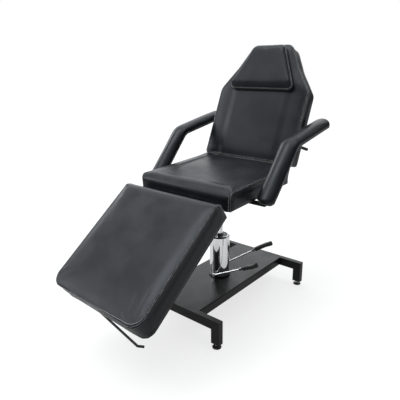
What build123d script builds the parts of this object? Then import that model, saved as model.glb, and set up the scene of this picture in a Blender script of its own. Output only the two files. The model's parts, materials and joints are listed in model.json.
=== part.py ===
from build123d import *
import os
from math import atan2, cos, degrees, hypot, radians, sin, tan

# Tattoo chair: a padded seat with a reclining backrest, a tilting leg rest and two bent armrests,
# on a chrome hydraulic column and a low steel base.
# Millimetres. +Y is towards the backrest, +Z is up, and +X is to the right of someone who faces the leg rest.
# The model is drawn about the column, and written with its origin on the floor under the middle of its plan.

# Stance and angles
plan_shift = 156
seat_height = 690.7
seat_tilt = 2.3
back_angle = 66.5
leg_angle = 36.7
arm_lower_angle = 48
arm_rear_angle = 9.5

# Clearances and overrun
pin_clearance = 0.05
face_clearance = 0.2
overrun = 2

# Fasteners
m10_radius = 5
m10_head_width = 17
m10_head_height = 6.4
m10_nut_height = 8
m10_washer_radius = 10
m8_radius = 4
m8_head_width = 13
m8_head_height = 5.3
m6_radius = 3
m6_head_radius = 5.5
m6_head_height = 3.3

# Base frames
beam_length = 630
beam_height = 50
beam_width = 30
beam_wall = 2.5
front_beam_y = -400
rear_beam_y = 426
deck_height = 150
leg_bottom = 22

# Levelling feet
foot_radius = 23
foot_height = 7
foot_neck_radius = 9
foot_neck_height = 11
foot_plug_height = 5
foot_stud_top = 62
foot_nut_gap = 0.5

# Base plate
plate_width = 342
plate_thickness = 4
plate_skirt = 46
plate_bend_radius = 6
plate_end_width = 300
plate_bolt_spacing = 110
plate_bolt_drop = 25
plate_bolt_length = 14

# Pump
cover_radius = 57.5
cover_wall = 2.5
cover_rise = 8
cover_lip = 8
cover_lip_taper = 8
base_ring_radius = 62
base_ring_height = 9
body_radius = 50
body_height = 242
cap_drop = 3
cap_height = 7
ram_radius = 18
ram_engagement = 72
ram_travel = 160
seal_radius = 24
seal_height = 4
pump_bolt_reach = 34
pump_bolt_length = 26

# Pedals
release_pedal_x = 16
lift_pedal_x = -29
pedal_drop_height = 23
pedal_shaft_radius = 6
pedal_shaft_depth = 22
pedal_hub_radius = 10
pedal_hub_width = 16
pedal_hub_centre = 75
pedal_rod_radius = 4.6
pedal_blade_width = 8
pedal_blade_height = 13
pedal_blade_length = 34
pedal_blade_in_grip = 30
pedal_slot_radius = 8
release_rod_angle = 27.6
release_rod_length = 232
release_grip_angle = 22
release_grip_length = 28
release_tip_angle = 34
release_tip_length = 30
lift_rod_angle = 35.4
lift_rod_length = 282
lift_grip_angle = 33
lift_grip_length = 42
lift_tip_angle = 28
lift_tip_length = 38
grip_width = 27
grip_height = 24
grip_corner = 9
grip_bend_radius = 40

# Seat frame
rail_size = 30
rail_wall = 2
rail_x = 150
seat_rail_front = -286
seat_rail_rear = 248
cross_front_v = -271
cross_strut_v = -152.5
cross_mid_v = -80
cross_rear_v = 215.1

# Ram saddle
saddle_length = 150
saddle_thickness = 8
saddle_bolt_spacing = 110
socket_radius = 30
socket_height = 72
ram_top_gap = 4
gusset_thickness = 8
gusset_reach = 84
gusset_height = 48
gusset_foot_share = 0.2

# Hinges, shared by backrest and leg rest
ear_thickness = 6
ear_radius = 13
washer_thickness = 2
hinge_plate_thickness = 5.6
hinge_bolt_spare = 2
back_hinge_v = 274.1
back_hinge_w = 46.3
leg_hinge_v = -302.3
leg_hinge_w = -13.5

# Seat cushion and board
seat_half_width = 300
seat_front = -315
seat_rear = 250
seat_thickness = 96
seat_crown = 11
seat_crown_inset = 92
seat_corner = 26
seat_roll_reach = 96
seat_roll_drop = 34
seat_roll_bend_in = 13
seat_roll_bend_drop = 10
shoulder_shares = ((0, 0), (0.12, 0.38), (0.36, 0.74))
panel_shares = ((0.36, 0.74), (0.64, 0.92), (1, 1))
board_thickness = 12
board_inset = 7
board_corner = 20
side_draw = 3
edge_tuck = 4

# Backrest
back_bottom = 43.4
back_seam_height = 52
back_thickness = 88
back_length = 686
back_half_width = 300
back_shoulder_length = 411
back_neck_half_width = 206
back_neck_length = 543
back_top_half_width = 128
back_corner = 20
back_shoulder_radius = 70
back_neck_radius = 220
back_top_radius = 52
back_crown = 12
back_crown_inset = 88
back_rail_size = 25
back_rail_start = 64
back_rail_length = 470
back_cross_low = 138.9
back_cross_high = 505

# Head pillow
pillow_bottom = 404
pillow_length = 266
pillow_half_width = 224
pillow_top_half_width = 100
pillow_seam_height = 24
pillow_height = 38
pillow_corner = 26
pillow_top_corner = 40
pillow_crown_inset = 26
pillow_draw = 5
pillow_seam_low_share = 0.3

# Leg rest
leg_seam_height = 129.4
leg_thickness = 115
leg_half_width = 300
leg_head = -12
leg_length = 650
leg_head_corner = 20
leg_foot_corner = 60
leg_crown = 11
leg_crown_inset = 92
leg_roll_reach = 64
leg_roll_drop = 66
leg_roll_bend_in = 14
leg_roll_bend_drop = 16
leg_rail_size = 25
leg_rail_start = -26
leg_rail_length = 590
leg_cross_high = -154.7
leg_cross_low = -603

# Gas springs
back_strut_reach = 170
back_strut_seat_angle = -108
back_strut_depth = -98
back_barrel_length = 180
back_rod_length = 180
leg_strut_reach = 160
leg_strut_seat_angle = -20
leg_strut_depth = -41.1
leg_barrel_length = 188
leg_rod_length = 205
barrel_radius = 14
barrel_wall = 4.5
barrel_guide = 18
barrel_floor = 7
strut_rod_radius = 5
piston_radius = 9.4
piston_height = 7
strut_eye_radius = 11
strut_eye_width = 28
strut_neck_radius = 7
strut_head_radius = 9
strut_head_length = 22
clevis_gap = 30
clevis_thickness = 5
clevis_radius = 13
clevis_foot = 44

# Leg rest release lever
lever_radius = 5.5
lever_drop = -22
lever_pivot_x = -150
lever_pivot_y = -637
lever_slope_share = 0.16
lever_elbow_x = 224
lever_tip_x = 254
lever_tip_rise = 10
lever_bend_radius = 14
lever_eye_radius = 13
lever_eye_height = 12
link_radius = 3
link_drop = -33
link_top = -173
link_x = -90
link_cross_y = -188
link_bend_radius = 7
link_play = 0.8
link_pin_radius = 3
link_eye_radius = 7
link_eye_height = 5
link_guide_width = 14
link_guide_thickness = 4
lever_plate_thickness = 5
lever_plate_width = 30

# Backrest release lever
back_lever_s = 178
back_lever_depth = -88
back_lever_radius = 5
back_lever_reach = 232
back_lever_start = -24
back_lever_handle = 70
back_lever_finger_width = 8
back_lever_finger_length = 26
back_lever_bend_radius = 16
back_grip_radius = 9
back_grip_length = 56

# Armrests
arm_gap = 25
arm_width = 95
arm_pivot_v = -66
arm_pivot_w = -5.7
arm_base_offset = 37.9
arm_lower_start = -34
arm_lower_length = 331
arm_rear_length = 364
arm_height = 51
arm_seam_low = 14
arm_side_height = 33
arm_crown_flat = 30
arm_crown_rise = 44
arm_bottom_tuck = 4
arm_bend_radius = 60
arm_end_radius = 34
arm_bracket_width = 40
arm_bracket_thickness = 8
arm_bracket_gap = 37
arm_lobe_radius = 14
arm_bar_width = 40
arm_bar_thickness = 5
arm_bar_rear = 250
arm_ear_thickness = 6
arm_ear_gap = 2
arm_ear_seat = 70
arm_screw_spacing = 95
arm_screw_length = 20

# Places worked out from the sizes above
arm_inner_x = seat_half_width + arm_gap
arm_outer_x = arm_inner_x + arm_width
arm_bracket_x = seat_half_width + arm_bracket_gap
seat_place = Location((0, 0, seat_height), (seat_tilt, 0, 0))


def seat_to_world(v, w):
    tilt = radians(seat_tilt)
    return (v * cos(tilt) - w * sin(tilt), seat_height + v * sin(tilt) + w * cos(tilt))


def polar(centre, radius, angle):
    return (centre[0] + radius * cos(radians(angle)), centre[1] + radius * sin(radians(angle)))


back_pivot = seat_to_world(back_hinge_v, back_hinge_w)
leg_pivot = seat_to_world(leg_hinge_v, leg_hinge_w)
arm_pivot = seat_to_world(arm_pivot_v, arm_pivot_w)
back_place = Location((0, *back_pivot), (back_angle, 0, 0))
leg_place = Location((0, *leg_pivot), (leg_angle, 0, 0))
arm_place = Location((0, *arm_pivot), (0, 0, 0))

# Both ends of a gas spring lie on one circle about the hinge, so barrel and rod turn half as fast as it.
back_strut_rise = (back_strut_reach**2 - back_strut_depth**2) ** 0.5
back_strut_anchor = polar(back_pivot, back_strut_reach, back_strut_seat_angle)
back_strut_tip = polar(
    back_pivot, back_strut_reach, back_angle + degrees(atan2(back_strut_depth, back_strut_rise))
)
leg_strut_rise = -((leg_strut_reach**2 - leg_strut_depth**2) ** 0.5)
leg_strut_anchor = polar(leg_pivot, leg_strut_reach, leg_strut_seat_angle)
leg_strut_tip = polar(
    leg_pivot, leg_strut_reach, leg_angle + degrees(atan2(leg_strut_depth, leg_strut_rise))
)


# Solids that several pieces share
def block(x_low, x_high, y_low, y_high, z_low, z_high):
    middle = ((x_low + x_high) / 2, (y_low + y_high) / 2, (z_low + z_high) / 2)
    return Pos(*middle) * Box(x_high - x_low, y_high - y_low, z_high - z_low)


def tube_along_y(x, y_low, y_high, z_top, size, wall):
    outer = block(x - size / 2, x + size / 2, y_low, y_high, z_top - size, z_top)
    half = size / 2 - wall
    inner = block(x - half, x + half, y_low - overrun, y_high + overrun, z_top - size + wall, z_top - wall)
    return outer - inner


def tube_along_x(y, x_low, x_high, z_top, size, wall):
    outer = block(x_low, x_high, y - size / 2, y + size / 2, z_top - size, z_top)
    half = size / 2 - wall
    inner = block(x_low - overrun, x_high + overrun, y - half, y + half, z_top - size + wall, z_top - wall)
    return outer - inner


def round_bar(start, end, radius):
    run = Vector(*end) - Vector(*start)
    return extrude(Plane(origin=start, z_dir=run) * Circle(radius), amount=run.length)


def hex_prism(start, direction, across_flats, height):
    plane = Plane(origin=start, z_dir=direction)
    return extrude(plane * RegularPolygon(across_flats / 2, 6, major_radius=False), amount=height)


def side_plate(points, x_low, thickness):
    face = Plane.YZ.offset(x_low) * make_face(Polyline(*points, close=True))
    return extrude(face, amount=thickness, dir=(1, 0, 0))


def both_sides(solid):
    return Compound([solid, mirror(solid, Plane.YZ)])


def group(solids):
    return Compound([piece for solid in solids for piece in solid.solids()])


def place(location, shape):
    return location * shape


def write(shape, name):
    export_step(Pos(0, plan_shift, 0) * shape, "parts/" + name + ".step")


# Base
def cross_frame(y):
    outer = beam_length / 2
    leg_inner = outer - beam_height
    beam_bottom = deck_height - beam_height
    front = y - beam_width / 2
    rear = y + beam_width / 2

    def framed(points, wall):
        face = Plane.XZ.offset(-(front + wall)) * make_face(Polyline(*points, close=True))
        return extrude(face, amount=rear - front - wall * 2, dir=(0, 1, 0))

    beam = framed(
        [(-outer, deck_height), (outer, deck_height), (leg_inner, beam_bottom), (-leg_inner, beam_bottom)], 0
    )
    inner_top = deck_height - beam_wall
    inner_bottom = beam_bottom + beam_wall
    beam -= framed(
        [
            (-outer + beam_wall, inner_top),
            (outer - beam_wall, inner_top),
            (leg_inner + beam_wall, inner_bottom),
            (-leg_inner - beam_wall, inner_bottom),
        ],
        beam_wall,
    )
    leg = framed(
        [(outer, deck_height), (outer, leg_bottom), (leg_inner, leg_bottom), (leg_inner, beam_bottom)], 0
    )
    leg -= framed(
        [
            (outer - beam_wall, inner_top),
            (outer - beam_wall, leg_bottom - overrun),
            (leg_inner + beam_wall, leg_bottom - overrun),
            (leg_inner + beam_wall, inner_bottom),
        ],
        beam_wall,
    )
    for x in plate_bolt_places():
        beam -= round_bar((x, front - overrun, bolt_height()), (x, rear + overrun, bolt_height()), m8_radius)
    return beam, both_sides(leg)


def plate_bolt_places():
    return (-plate_bolt_spacing, 0, plate_bolt_spacing)


def bolt_height():
    return deck_height - plate_bolt_drop


def foot_places():
    x = beam_length / 2 - beam_height / 2
    return [(sx * x, y) for sx in (-1, 1) for y in (front_beam_y, rear_beam_y)]


def foot_plug(x, y):
    half_x = beam_height / 2 - beam_wall
    half_y = beam_width / 2 - beam_wall
    plug_top = leg_bottom + foot_plug_height
    plug = block(x - half_x, x + half_x, y - half_y, y + half_y, leg_bottom, plug_top)
    bore_radius = m10_radius + pin_clearance
    return plug - round_bar((x, y, leg_bottom - overrun), (x, y, plug_top + overrun), bore_radius)


def foot_stud(x, y):
    return round_bar((x, y, foot_neck_height), (x, y, foot_stud_top), m10_radius)


def foot_nut(x, y):
    top = leg_bottom - foot_nut_gap
    nut_height = top - foot_neck_height - foot_nut_gap
    nut = hex_prism((x, y, top - nut_height), (0, 0, 1), m10_head_width, nut_height)
    return nut - round_bar((x, y, 0), (x, y, top + overrun), m10_radius + pin_clearance)


def foot_pad(x, y):
    disc = round_bar((x, y, 0), (x, y, foot_height), foot_radius)
    disc = chamfer(disc.edges().group_by(Axis.Z)[-1], foot_height / 2)
    return disc + round_bar((x, y, 0), (x, y, foot_neck_height), foot_neck_radius)


def base_plate():
    front = front_beam_y + beam_width / 2
    rear = rear_beam_y - beam_width / 2
    half = plate_width / 2
    bottom = deck_height - plate_skirt
    outer = block(-half, half, front, rear, bottom, deck_height)
    outer = fillet(outer.edges().filter_by(Axis.Y).group_by(Axis.Z)[-1], plate_bend_radius)
    inner_half = half - plate_thickness
    inner_top = deck_height - plate_thickness
    inner = block(-inner_half, inner_half, front - overrun, rear + overrun, bottom - overrun, inner_top)
    inner = fillet(inner.edges().filter_by(Axis.Y).group_by(Axis.Z)[-1], plate_bend_radius - plate_thickness)
    plate = outer - inner
    end_half = plate_end_width / 2
    for y_low, y_high in ((front, front + plate_thickness), (rear - plate_thickness, rear)):
        tab = block(-end_half, end_half, y_low, y_high, bottom, deck_height - plate_thickness)
        for x in plate_bolt_places():
            start = (x, y_low - overrun, bolt_height())
            tab -= round_bar(start, (x, y_high + overrun, bolt_height()), m8_radius + face_clearance)
        plate += tab
    for x, y in pump_bolt_places():
        start = (x, y, deck_height - plate_thickness - overrun)
        plate -= round_bar(start, (x, y, deck_height + overrun), m10_radius + face_clearance)
    return plate


def plate_bolts():
    bolts = []
    for beam_y, side in ((front_beam_y + beam_width / 2, 1), (rear_beam_y - beam_width / 2, -1)):
        head_start = beam_y + side * plate_thickness
        for x in plate_bolt_places():
            head = hex_prism((x, head_start, bolt_height()), (0, side, 0), m8_head_width, m8_head_height)
            shank_end = head_start - side * plate_bolt_length
            shank = round_bar(
                (x, head_start, bolt_height()), (x, shank_end, bolt_height()), m8_radius - pin_clearance
            )
            bolts.append(head + shank)
    return group(bolts)


# Pump
def pump_bolt_places():
    return [polar((0, 0), pump_bolt_reach, turn) for turn in (0, 90, 180, 270)]


def pedal_height():
    return deck_height + pedal_drop_height


def pedal_shaft_x(side):
    return lift_pedal_x if side > 0 else release_pedal_x


def ram_bottom():
    return deck_height + body_height - ram_engagement


def pump_body():
    body = round_bar((0, 0, deck_height), (0, 0, deck_height + body_height), body_radius)
    bore_floor = ram_bottom() - ram_travel - overrun
    bore_top = deck_height + body_height + overrun
    body -= round_bar((0, 0, bore_floor), (0, 0, bore_top), ram_radius + pin_clearance)
    for side in (-1, 1):
        x = pedal_shaft_x(side)
        start = (x, side * (body_radius - pedal_shaft_depth), pedal_height())
        end = (x, side * (body_radius + overrun), pedal_height())
        body -= round_bar(start, end, pedal_shaft_radius + pin_clearance)
    for x, y in pump_bolt_places():
        body -= round_bar(
            (x, y, deck_height - overrun), (x, y, deck_height + pump_bolt_length), m10_radius
        )
    return body


def pump_cover():
    top = deck_height + body_height + cover_rise
    inner = cover_radius - cover_wall
    profile = Polyline(
        (inner, deck_height),
        (cover_radius, deck_height),
        (cover_radius, top - cover_lip),
        (cover_radius - cover_lip_taper, top),
        (cover_radius - cover_lip_taper - cover_wall, top),
        (cover_radius - cover_lip_taper - cover_wall, top - cap_drop),
        (inner, top - cap_drop - cover_lip),
        close=True,
    )
    cover = revolve(Plane.XZ * make_face(profile), Axis.Z)
    for side in (-1, 1):
        x = pedal_shaft_x(side)
        start = (x, side * pedal_shaft_depth, pedal_height())
        end = (x, side * (cover_radius + overrun), pedal_height())
        cover -= round_bar(start, end, pedal_slot_radius)
    return cover


def pump_base_ring():
    ring = round_bar((0, 0, deck_height), (0, 0, deck_height + base_ring_height), base_ring_radius)
    ring = chamfer(ring.edges().group_by(Axis.Z)[-1], overrun)
    bore_top = deck_height + base_ring_height + overrun
    return ring - round_bar((0, 0, deck_height - overrun), (0, 0, bore_top), cover_radius + pin_clearance)


def pump_cap():
    bottom = deck_height + body_height
    top_radius = cover_radius - cover_lip_taper - cover_wall - overrun
    profile = Polyline(
        (ram_radius + face_clearance, bottom),
        (top_radius, bottom),
        (top_radius, bottom + cap_height),
        (seal_radius + face_clearance, bottom + cap_height),
        (seal_radius + face_clearance, bottom + cap_height - seal_height),
        (ram_radius + face_clearance, bottom + cap_height - seal_height),
        close=True,
    )
    return revolve(Plane.XZ * make_face(profile), Axis.Z)


def wiper_seal():
    top = deck_height + body_height + cap_height
    ring = round_bar((0, 0, top - seal_height), (0, 0, top + seal_height / 2), seal_radius)
    ring = chamfer(ring.edges().group_by(Axis.Z)[-1], seal_height / 2)
    bore_bottom = top - seal_height - overrun
    return ring - round_bar((0, 0, bore_bottom), (0, 0, top + seal_height), ram_radius + pin_clearance)


def pump_bolts():
    bolts = []
    bottom = deck_height - plate_thickness
    for x, y in pump_bolt_places():
        head = hex_prism((x, y, bottom), (0, 0, -1), m10_head_width, m10_head_height)
        shank = round_bar(
            (x, y, bottom), (x, y, deck_height + pump_bolt_length - overrun), m10_radius - pin_clearance
        )
        bolts.append(head + shank)
    return group(bolts)


# Pedals: each is a shaft in the pump body, a hub, a rod that ends in a flat blade, and a rubber grip
def run_points(start, runs):
    points = [start]
    for angle, length in runs:
        points.append(polar(points[-1], length, angle))
    return points


def pedal_shaft(side):
    start = side * (body_radius - pedal_shaft_depth + face_clearance)
    end = side * (pedal_hub_centre + pedal_hub_width / 2)
    x = pedal_shaft_x(side)
    return round_bar((x, start, pedal_height()), (x, end, pedal_height()), pedal_shaft_radius)


def pedal_lever(side, runs):
    y = side * pedal_hub_centre
    half = pedal_hub_width / 2
    shaft_x = pedal_shaft_x(side)
    points = run_points((shaft_x, pedal_height()), runs)
    z = pedal_height()
    hub = round_bar((shaft_x, y - half, z), (shaft_x, y + half, z), pedal_hub_radius)
    angle = runs[-1][0]
    blade_start = polar(points[-1], -pedal_blade_length, angle)
    corners = [(x, y, z) for x, z in points[:-1]] + [(blade_start[0], y, blade_start[1])]
    lever = hub
    for start, end in zip(corners, corners[1:]):
        lever += round_bar(start, end, pedal_rod_radius)
    for joint in corners[1:-1]:
        lever += Pos(*joint) * Sphere(pedal_rod_radius)
    blade = block(
        0, pedal_blade_length + pedal_blade_in_grip, -pedal_blade_width / 2, pedal_blade_width / 2,
        -pedal_blade_height / 2, pedal_blade_height / 2,
    )
    lever += Location((blade_start[0], y, blade_start[1]), (0, -angle, 0)) * blade
    return lever + pedal_shaft(side)


def pedal_grip(side, runs, grip_runs):
    y = side * pedal_hub_centre
    start = run_points((pedal_shaft_x(side), pedal_height()), runs)[-1]
    angle = runs[-1][0]
    straight = polar(start, pedal_blade_in_grip + overrun, angle)
    points = run_points(straight, grip_runs)
    path = FilletPolyline(
        (start[0], y, start[1]), *[(x, y, z) for x, z in points], radius=grip_bend_radius
    )
    section = Plane(origin=(start[0], y, start[1]), x_dir=(0, 1, 0), z_dir=path % 0)
    grip = sweep(section * RectangleRounded(grip_width, grip_height, grip_corner), path)
    slot = block(
        -overrun, pedal_blade_in_grip + face_clearance,
        -pedal_blade_width / 2 - pin_clearance, pedal_blade_width / 2 + pin_clearance,
        -pedal_blade_height / 2 - pin_clearance, pedal_blade_height / 2 + pin_clearance,
    )
    return grip - Location((start[0], y, start[1]), (0, -angle, 0)) * slot


release_runs = [(release_rod_angle, release_rod_length)]
release_grip_runs = [(release_grip_angle, release_grip_length), (release_tip_angle, release_tip_length)]
lift_runs = [(lift_rod_angle, lift_rod_length)]
lift_grip_runs = [(lift_grip_angle, lift_grip_length), (lift_tip_angle, lift_tip_length)]


# Ram and saddle
def ram():
    top = seat_height - rail_size - saddle_thickness - ram_top_gap
    bar = round_bar((0, 0, ram_bottom()), (0, 0, top), ram_radius)
    return chamfer(bar.edges().group_by(Axis.Z)[-1], overrun)


def ram_saddle():
    top = -rail_size
    half_x = rail_x + rail_size / 2
    plate = block(-half_x, half_x, -saddle_length / 2, saddle_length / 2, top - saddle_thickness, top)
    for x, y in saddle_bolt_places():
        start = (x, y, top - saddle_thickness - overrun)
        plate -= round_bar(start, (x, y, top + overrun), m10_radius + face_clearance)
    plate = place(seat_place, plate)
    socket_top = seat_height - rail_size
    socket = round_bar((0, 0, socket_top - socket_height), (0, 0, socket_top), socket_radius)
    gussets = []
    for side in (-1, 1):
        inner = side * socket_radius / 2
        outer = side * (socket_radius + gusset_reach)
        points = [
            (inner, socket_top),
            (outer, socket_top),
            (outer, socket_top - saddle_thickness - gusset_height * gusset_foot_share),
            (inner, socket_top - saddle_thickness - gusset_height),
        ]
        face = Plane.XZ.offset(-gusset_thickness / 2) * make_face(Polyline(*points, close=True))
        gussets.append(extrude(face, amount=gusset_thickness, dir=(0, -1, 0)))
    under = place(
        seat_place,
        block(-half_x, half_x, -saddle_length, saddle_length, top - saddle_thickness, top + saddle_length),
    )
    lower = (socket + gussets[0] + gussets[1]) - under
    bore_top = seat_height - rail_size - saddle_thickness - ram_top_gap / 2
    bore_bottom = socket_top - socket_height - overrun
    lower -= round_bar((0, 0, bore_bottom), (0, 0, bore_top), ram_radius + pin_clearance)
    return plate + lower


def saddle_bolt_places():
    return [(sx * rail_x, sy * saddle_bolt_spacing / 2) for sx in (-1, 1) for sy in (-1, 1)]


def saddle_bolts():
    bolts = []
    bottom = -rail_size - saddle_thickness
    for x, y in saddle_bolt_places():
        head = hex_prism((x, y, bottom), (0, 0, -1), m10_head_width, m10_head_height)
        shank = round_bar((x, y, bottom), (x, y, -rail_size + rail_wall * 2), m10_radius - pin_clearance)
        bolts.append(head + shank)
    return group(bolts)


# Seat frame, in the seat's own tilted frame with its top face at height zero
def seat_side_rails():
    rail = tube_along_y(rail_x, seat_rail_front, seat_rail_rear, 0, rail_size, rail_wall)
    for x, y in saddle_bolt_places():
        rail -= round_bar((x, y, -rail_size - overrun), (x, y, -rail_size + rail_wall * 2), m10_radius)
    return both_sides(rail)


def seat_cross_rails():
    half = rail_x - rail_size / 2
    return group(
        [
            tube_along_x(v, -half, half, 0, rail_size, rail_wall)
            for v in (cross_front_v, cross_strut_v, cross_mid_v, cross_rear_v)
        ]
    )


def ear_x():
    return rail_x + rail_size / 2


def hinge_plate_x():
    return ear_x() + ear_thickness + washer_thickness + face_clearance


def bored(plate, y, z, radius):
    reach = rail_x * 2
    return plate - round_bar((0, y, z), (reach, y, z), radius)


def back_hinge_ears():
    foot_front = back_hinge_v - ear_radius * 5
    foot_rear = back_hinge_v + ear_radius
    points = [
        (foot_front, -rail_size),
        (foot_rear, -rail_size),
        (foot_rear, back_hinge_w),
        (back_hinge_v - ear_radius, back_hinge_w),
        (back_hinge_v - ear_radius, 0),
        (foot_front, 0),
    ]
    ear = side_plate(points, ear_x(), ear_thickness)
    outer = ear_x() + ear_thickness
    ear += round_bar((ear_x(), back_hinge_v, back_hinge_w), (outer, back_hinge_v, back_hinge_w), ear_radius)
    return both_sides(bored(ear, back_hinge_v, back_hinge_w, m10_radius + pin_clearance))


def leg_hinge_ears():
    foot_rear = leg_hinge_v + ear_radius * 6
    points = [
        (leg_hinge_v, leg_hinge_w - ear_radius),
        (foot_rear, -rail_size),
        (foot_rear, leg_hinge_w + ear_radius),
        (leg_hinge_v, leg_hinge_w + ear_radius),
    ]
    ear = side_plate(points, ear_x(), ear_thickness)
    outer = ear_x() + ear_thickness
    ear += round_bar((ear_x(), leg_hinge_v, leg_hinge_w), (outer, leg_hinge_v, leg_hinge_w), ear_radius)
    return both_sides(bored(ear, leg_hinge_v, leg_hinge_w, m10_radius + pin_clearance))


# A hinge bolt passes the fixed ear, a washer and the moving plate, with its nut inside and its head outside
def hinge_bolt(y, z):
    washer_start = ear_x() + ear_thickness
    outer = hinge_plate_x() + hinge_plate_thickness + face_clearance
    inner = ear_x() - m10_nut_height - hinge_bolt_spare
    head = hex_prism((outer, y, z), (1, 0, 0), m10_head_width, m10_head_height)
    shank = round_bar((inner, y, z), (outer, y, z), m10_radius)
    washer = round_bar((washer_start, y, z), (washer_start + washer_thickness, y, z), m10_washer_radius)
    nut = hex_prism((ear_x() - m10_nut_height, y, z), (1, 0, 0), m10_head_width, m10_nut_height)
    loose = round_bar((inner - overrun, y, z), (outer + overrun, y, z), m10_radius + pin_clearance)
    return both_sides(group([head + shank, washer - loose, nut - loose]))


# A clevis is two lugs that hang from a rail, with the pin that carries one end of a gas spring
def clevis_lugs(y_foot, z_foot, y_pin, z_pin, foot):
    points = [(y_foot - foot / 2, z_foot), (y_foot + foot / 2, z_foot)]
    points += [(y_pin + clevis_radius, z_pin), (y_pin - clevis_radius, z_pin)]
    lugs = []
    for x in (clevis_gap / 2, -clevis_gap / 2 - clevis_thickness):
        outer = x + clevis_thickness
        lug = side_plate(points, x, clevis_thickness)
        lug += round_bar((x, y_pin, z_pin), (outer, y_pin, z_pin), clevis_radius)
        lug -= round_bar((x - overrun, y_pin, z_pin), (outer + overrun, y_pin, z_pin), clevis_hole())
        lugs.append(lug)
    return lugs


def clevis_hole():
    return m10_radius + pin_clearance


def clevis_pin(y, z):
    half = clevis_gap / 2 + clevis_thickness + hinge_bolt_spare
    pin = round_bar((-half, y, z), (half, y, z), m10_radius)
    head_start = half - hinge_bolt_spare + face_clearance
    head = round_bar((head_start, y, z), (head_start + m6_head_height, y, z), m10_radius + overrun)
    clip_start = -half
    clip = round_bar((clip_start, y, z), (clip_start + hinge_bolt_spare / 2, y, z), m10_radius + overrun)
    return pin + head + clip


def in_seat_frame(y, z):
    tilt = radians(seat_tilt)
    rise = z - seat_height
    return (y * cos(tilt) + rise * sin(tilt), rise * cos(tilt) - y * sin(tilt))


def seat_clevises():
    lugs = []
    for anchor, rail_v in ((back_strut_anchor, cross_rear_v), (leg_strut_anchor, cross_strut_v)):
        v, w = in_seat_frame(*anchor)
        lugs += clevis_lugs(rail_v, -rail_size, v, w, rail_size)
    return group(lugs)


def seat_clevis_pins():
    return group([clevis_pin(*in_seat_frame(*anchor)) for anchor in (back_strut_anchor, leg_strut_anchor)])


# Cushions: drawn-in sides up to the seam, then a crown; each wraps the edge of its plywood board
def panel_face(points, radii, middle, half_width, half_length, inset, height):
    narrow = 1 - inset / half_width
    short = 1 - inset / half_length
    shrunk = [(x * narrow, middle + (y - middle) * short) for x, y in points]
    return Pos(0, 0, height) * make_face(FilletPolyline(*shrunk, radius=radii, close=True))


def cushion_form(points, radii, bottom, seam, crown, crown_inset):
    ys = [y for x, y in points]
    half_width = max(x for x, y in points)
    middle = (min(ys) + max(ys)) / 2
    half_length = (max(ys) - min(ys)) / 2

    def section(inset, height):
        return panel_face(points, radii, middle, half_width, half_length, inset, height)

    def crown_part(shares):
        return loft([section(crown_inset * inward, seam + crown * upward) for inward, upward in shares])

    side = loft([section(edge_tuck, bottom), section(side_draw, (bottom + seam) / 2), section(0, seam)])
    return side + crown_part(shoulder_shares) + crown_part(panel_shares)


# What a cushion loses where its top panel rolls over one end, as an arc in side view
def rolled_end(end, side, seam, crown, roll, half_width):
    reach, drop, bend_in, bend_drop = roll
    top = seam + crown + overrun * 2
    nose = (end + side * overrun, seam - drop)
    bend = (end - side * bend_in, seam - bend_drop)
    crest = (end - side * reach, seam + crown + overrun)
    trim = Line(nose, (nose[0], top)) + Line((nose[0], top), (crest[0], top)) + Line((crest[0], top), crest)
    trim += ThreePointArc(crest, bend, nose)
    cutter = Plane.YZ.offset(-half_width - overrun) * make_face(trim)
    return extrude(cutter, amount=(half_width + overrun) * 2, dir=(1, 0, 0))


def board(points, radius, bottom):
    ys = [y for x, y in points]
    half_width = max(x for x, y in points)
    middle = (min(ys) + max(ys)) / 2
    half_length = (max(ys) - min(ys)) / 2
    radii = [radius] * len(points)
    face = panel_face(points, radii, middle, half_width, half_length, board_inset, bottom)
    return extrude(face, amount=board_thickness)


def seat_points():
    return [
        (-seat_half_width, seat_front),
        (seat_half_width, seat_front),
        (seat_half_width, seat_rear),
        (-seat_half_width, seat_rear),
    ]


def seat_board():
    return board(seat_points(), board_corner, 0)


def seat_cushion():
    form = cushion_form(seat_points(), [seat_corner] * 4, 0, seat_thickness, seat_crown, seat_crown_inset)
    roll = (seat_roll_reach, seat_roll_drop, seat_roll_bend_in, seat_roll_bend_drop)
    return form - rolled_end(seat_front, -1, seat_thickness, seat_crown, roll, seat_half_width) - seat_board()


# Backrest, in its own frame: +Y up the back, +Z out of its face, origin on the hinge
def back_points():
    top = back_bottom + back_length
    right = [
        (back_half_width, back_bottom),
        (back_half_width, back_bottom + back_shoulder_length),
        (back_neck_half_width, back_bottom + back_neck_length),
        (back_top_half_width, top),
    ]
    return right + [(-x, y) for x, y in reversed(right)]


def back_radii():
    right = [back_corner, back_shoulder_radius, back_neck_radius, back_top_radius]
    return right + right[::-1]


def back_underside():
    return back_seam_height - back_thickness


def back_board():
    return board(back_points(), board_corner, back_underside())


def back_cushion():
    form = cushion_form(
        back_points(), back_radii(), back_underside(), back_seam_height, back_crown, back_crown_inset
    )
    return form - back_board()


def head_pillow():
    low = back_bottom + pillow_bottom
    high = low + pillow_length
    points = [
        (pillow_half_width, low),
        (pillow_top_half_width, high),
        (-pillow_top_half_width, high),
        (-pillow_half_width, low),
    ]
    radii = [pillow_corner, pillow_top_corner, pillow_top_corner, pillow_corner]
    middle = (low + high) / 2
    base = back_seam_height + back_crown

    def section(inset, height):
        return panel_face(points, radii, middle, pillow_half_width, pillow_length / 2, inset, base + height)

    lower = loft(
        [
            section(pillow_draw * 2, 0),
            section(pillow_draw, pillow_seam_height * pillow_seam_low_share),
            section(0, pillow_seam_height / 2),
        ]
    )
    upper = loft(
        [
            section(0, pillow_seam_height / 2),
            section(pillow_draw, pillow_seam_height),
            section(pillow_crown_inset, pillow_height),
        ]
    )
    return lower + upper


def back_rail_x():
    return hinge_plate_x() - back_rail_size / 2


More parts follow.
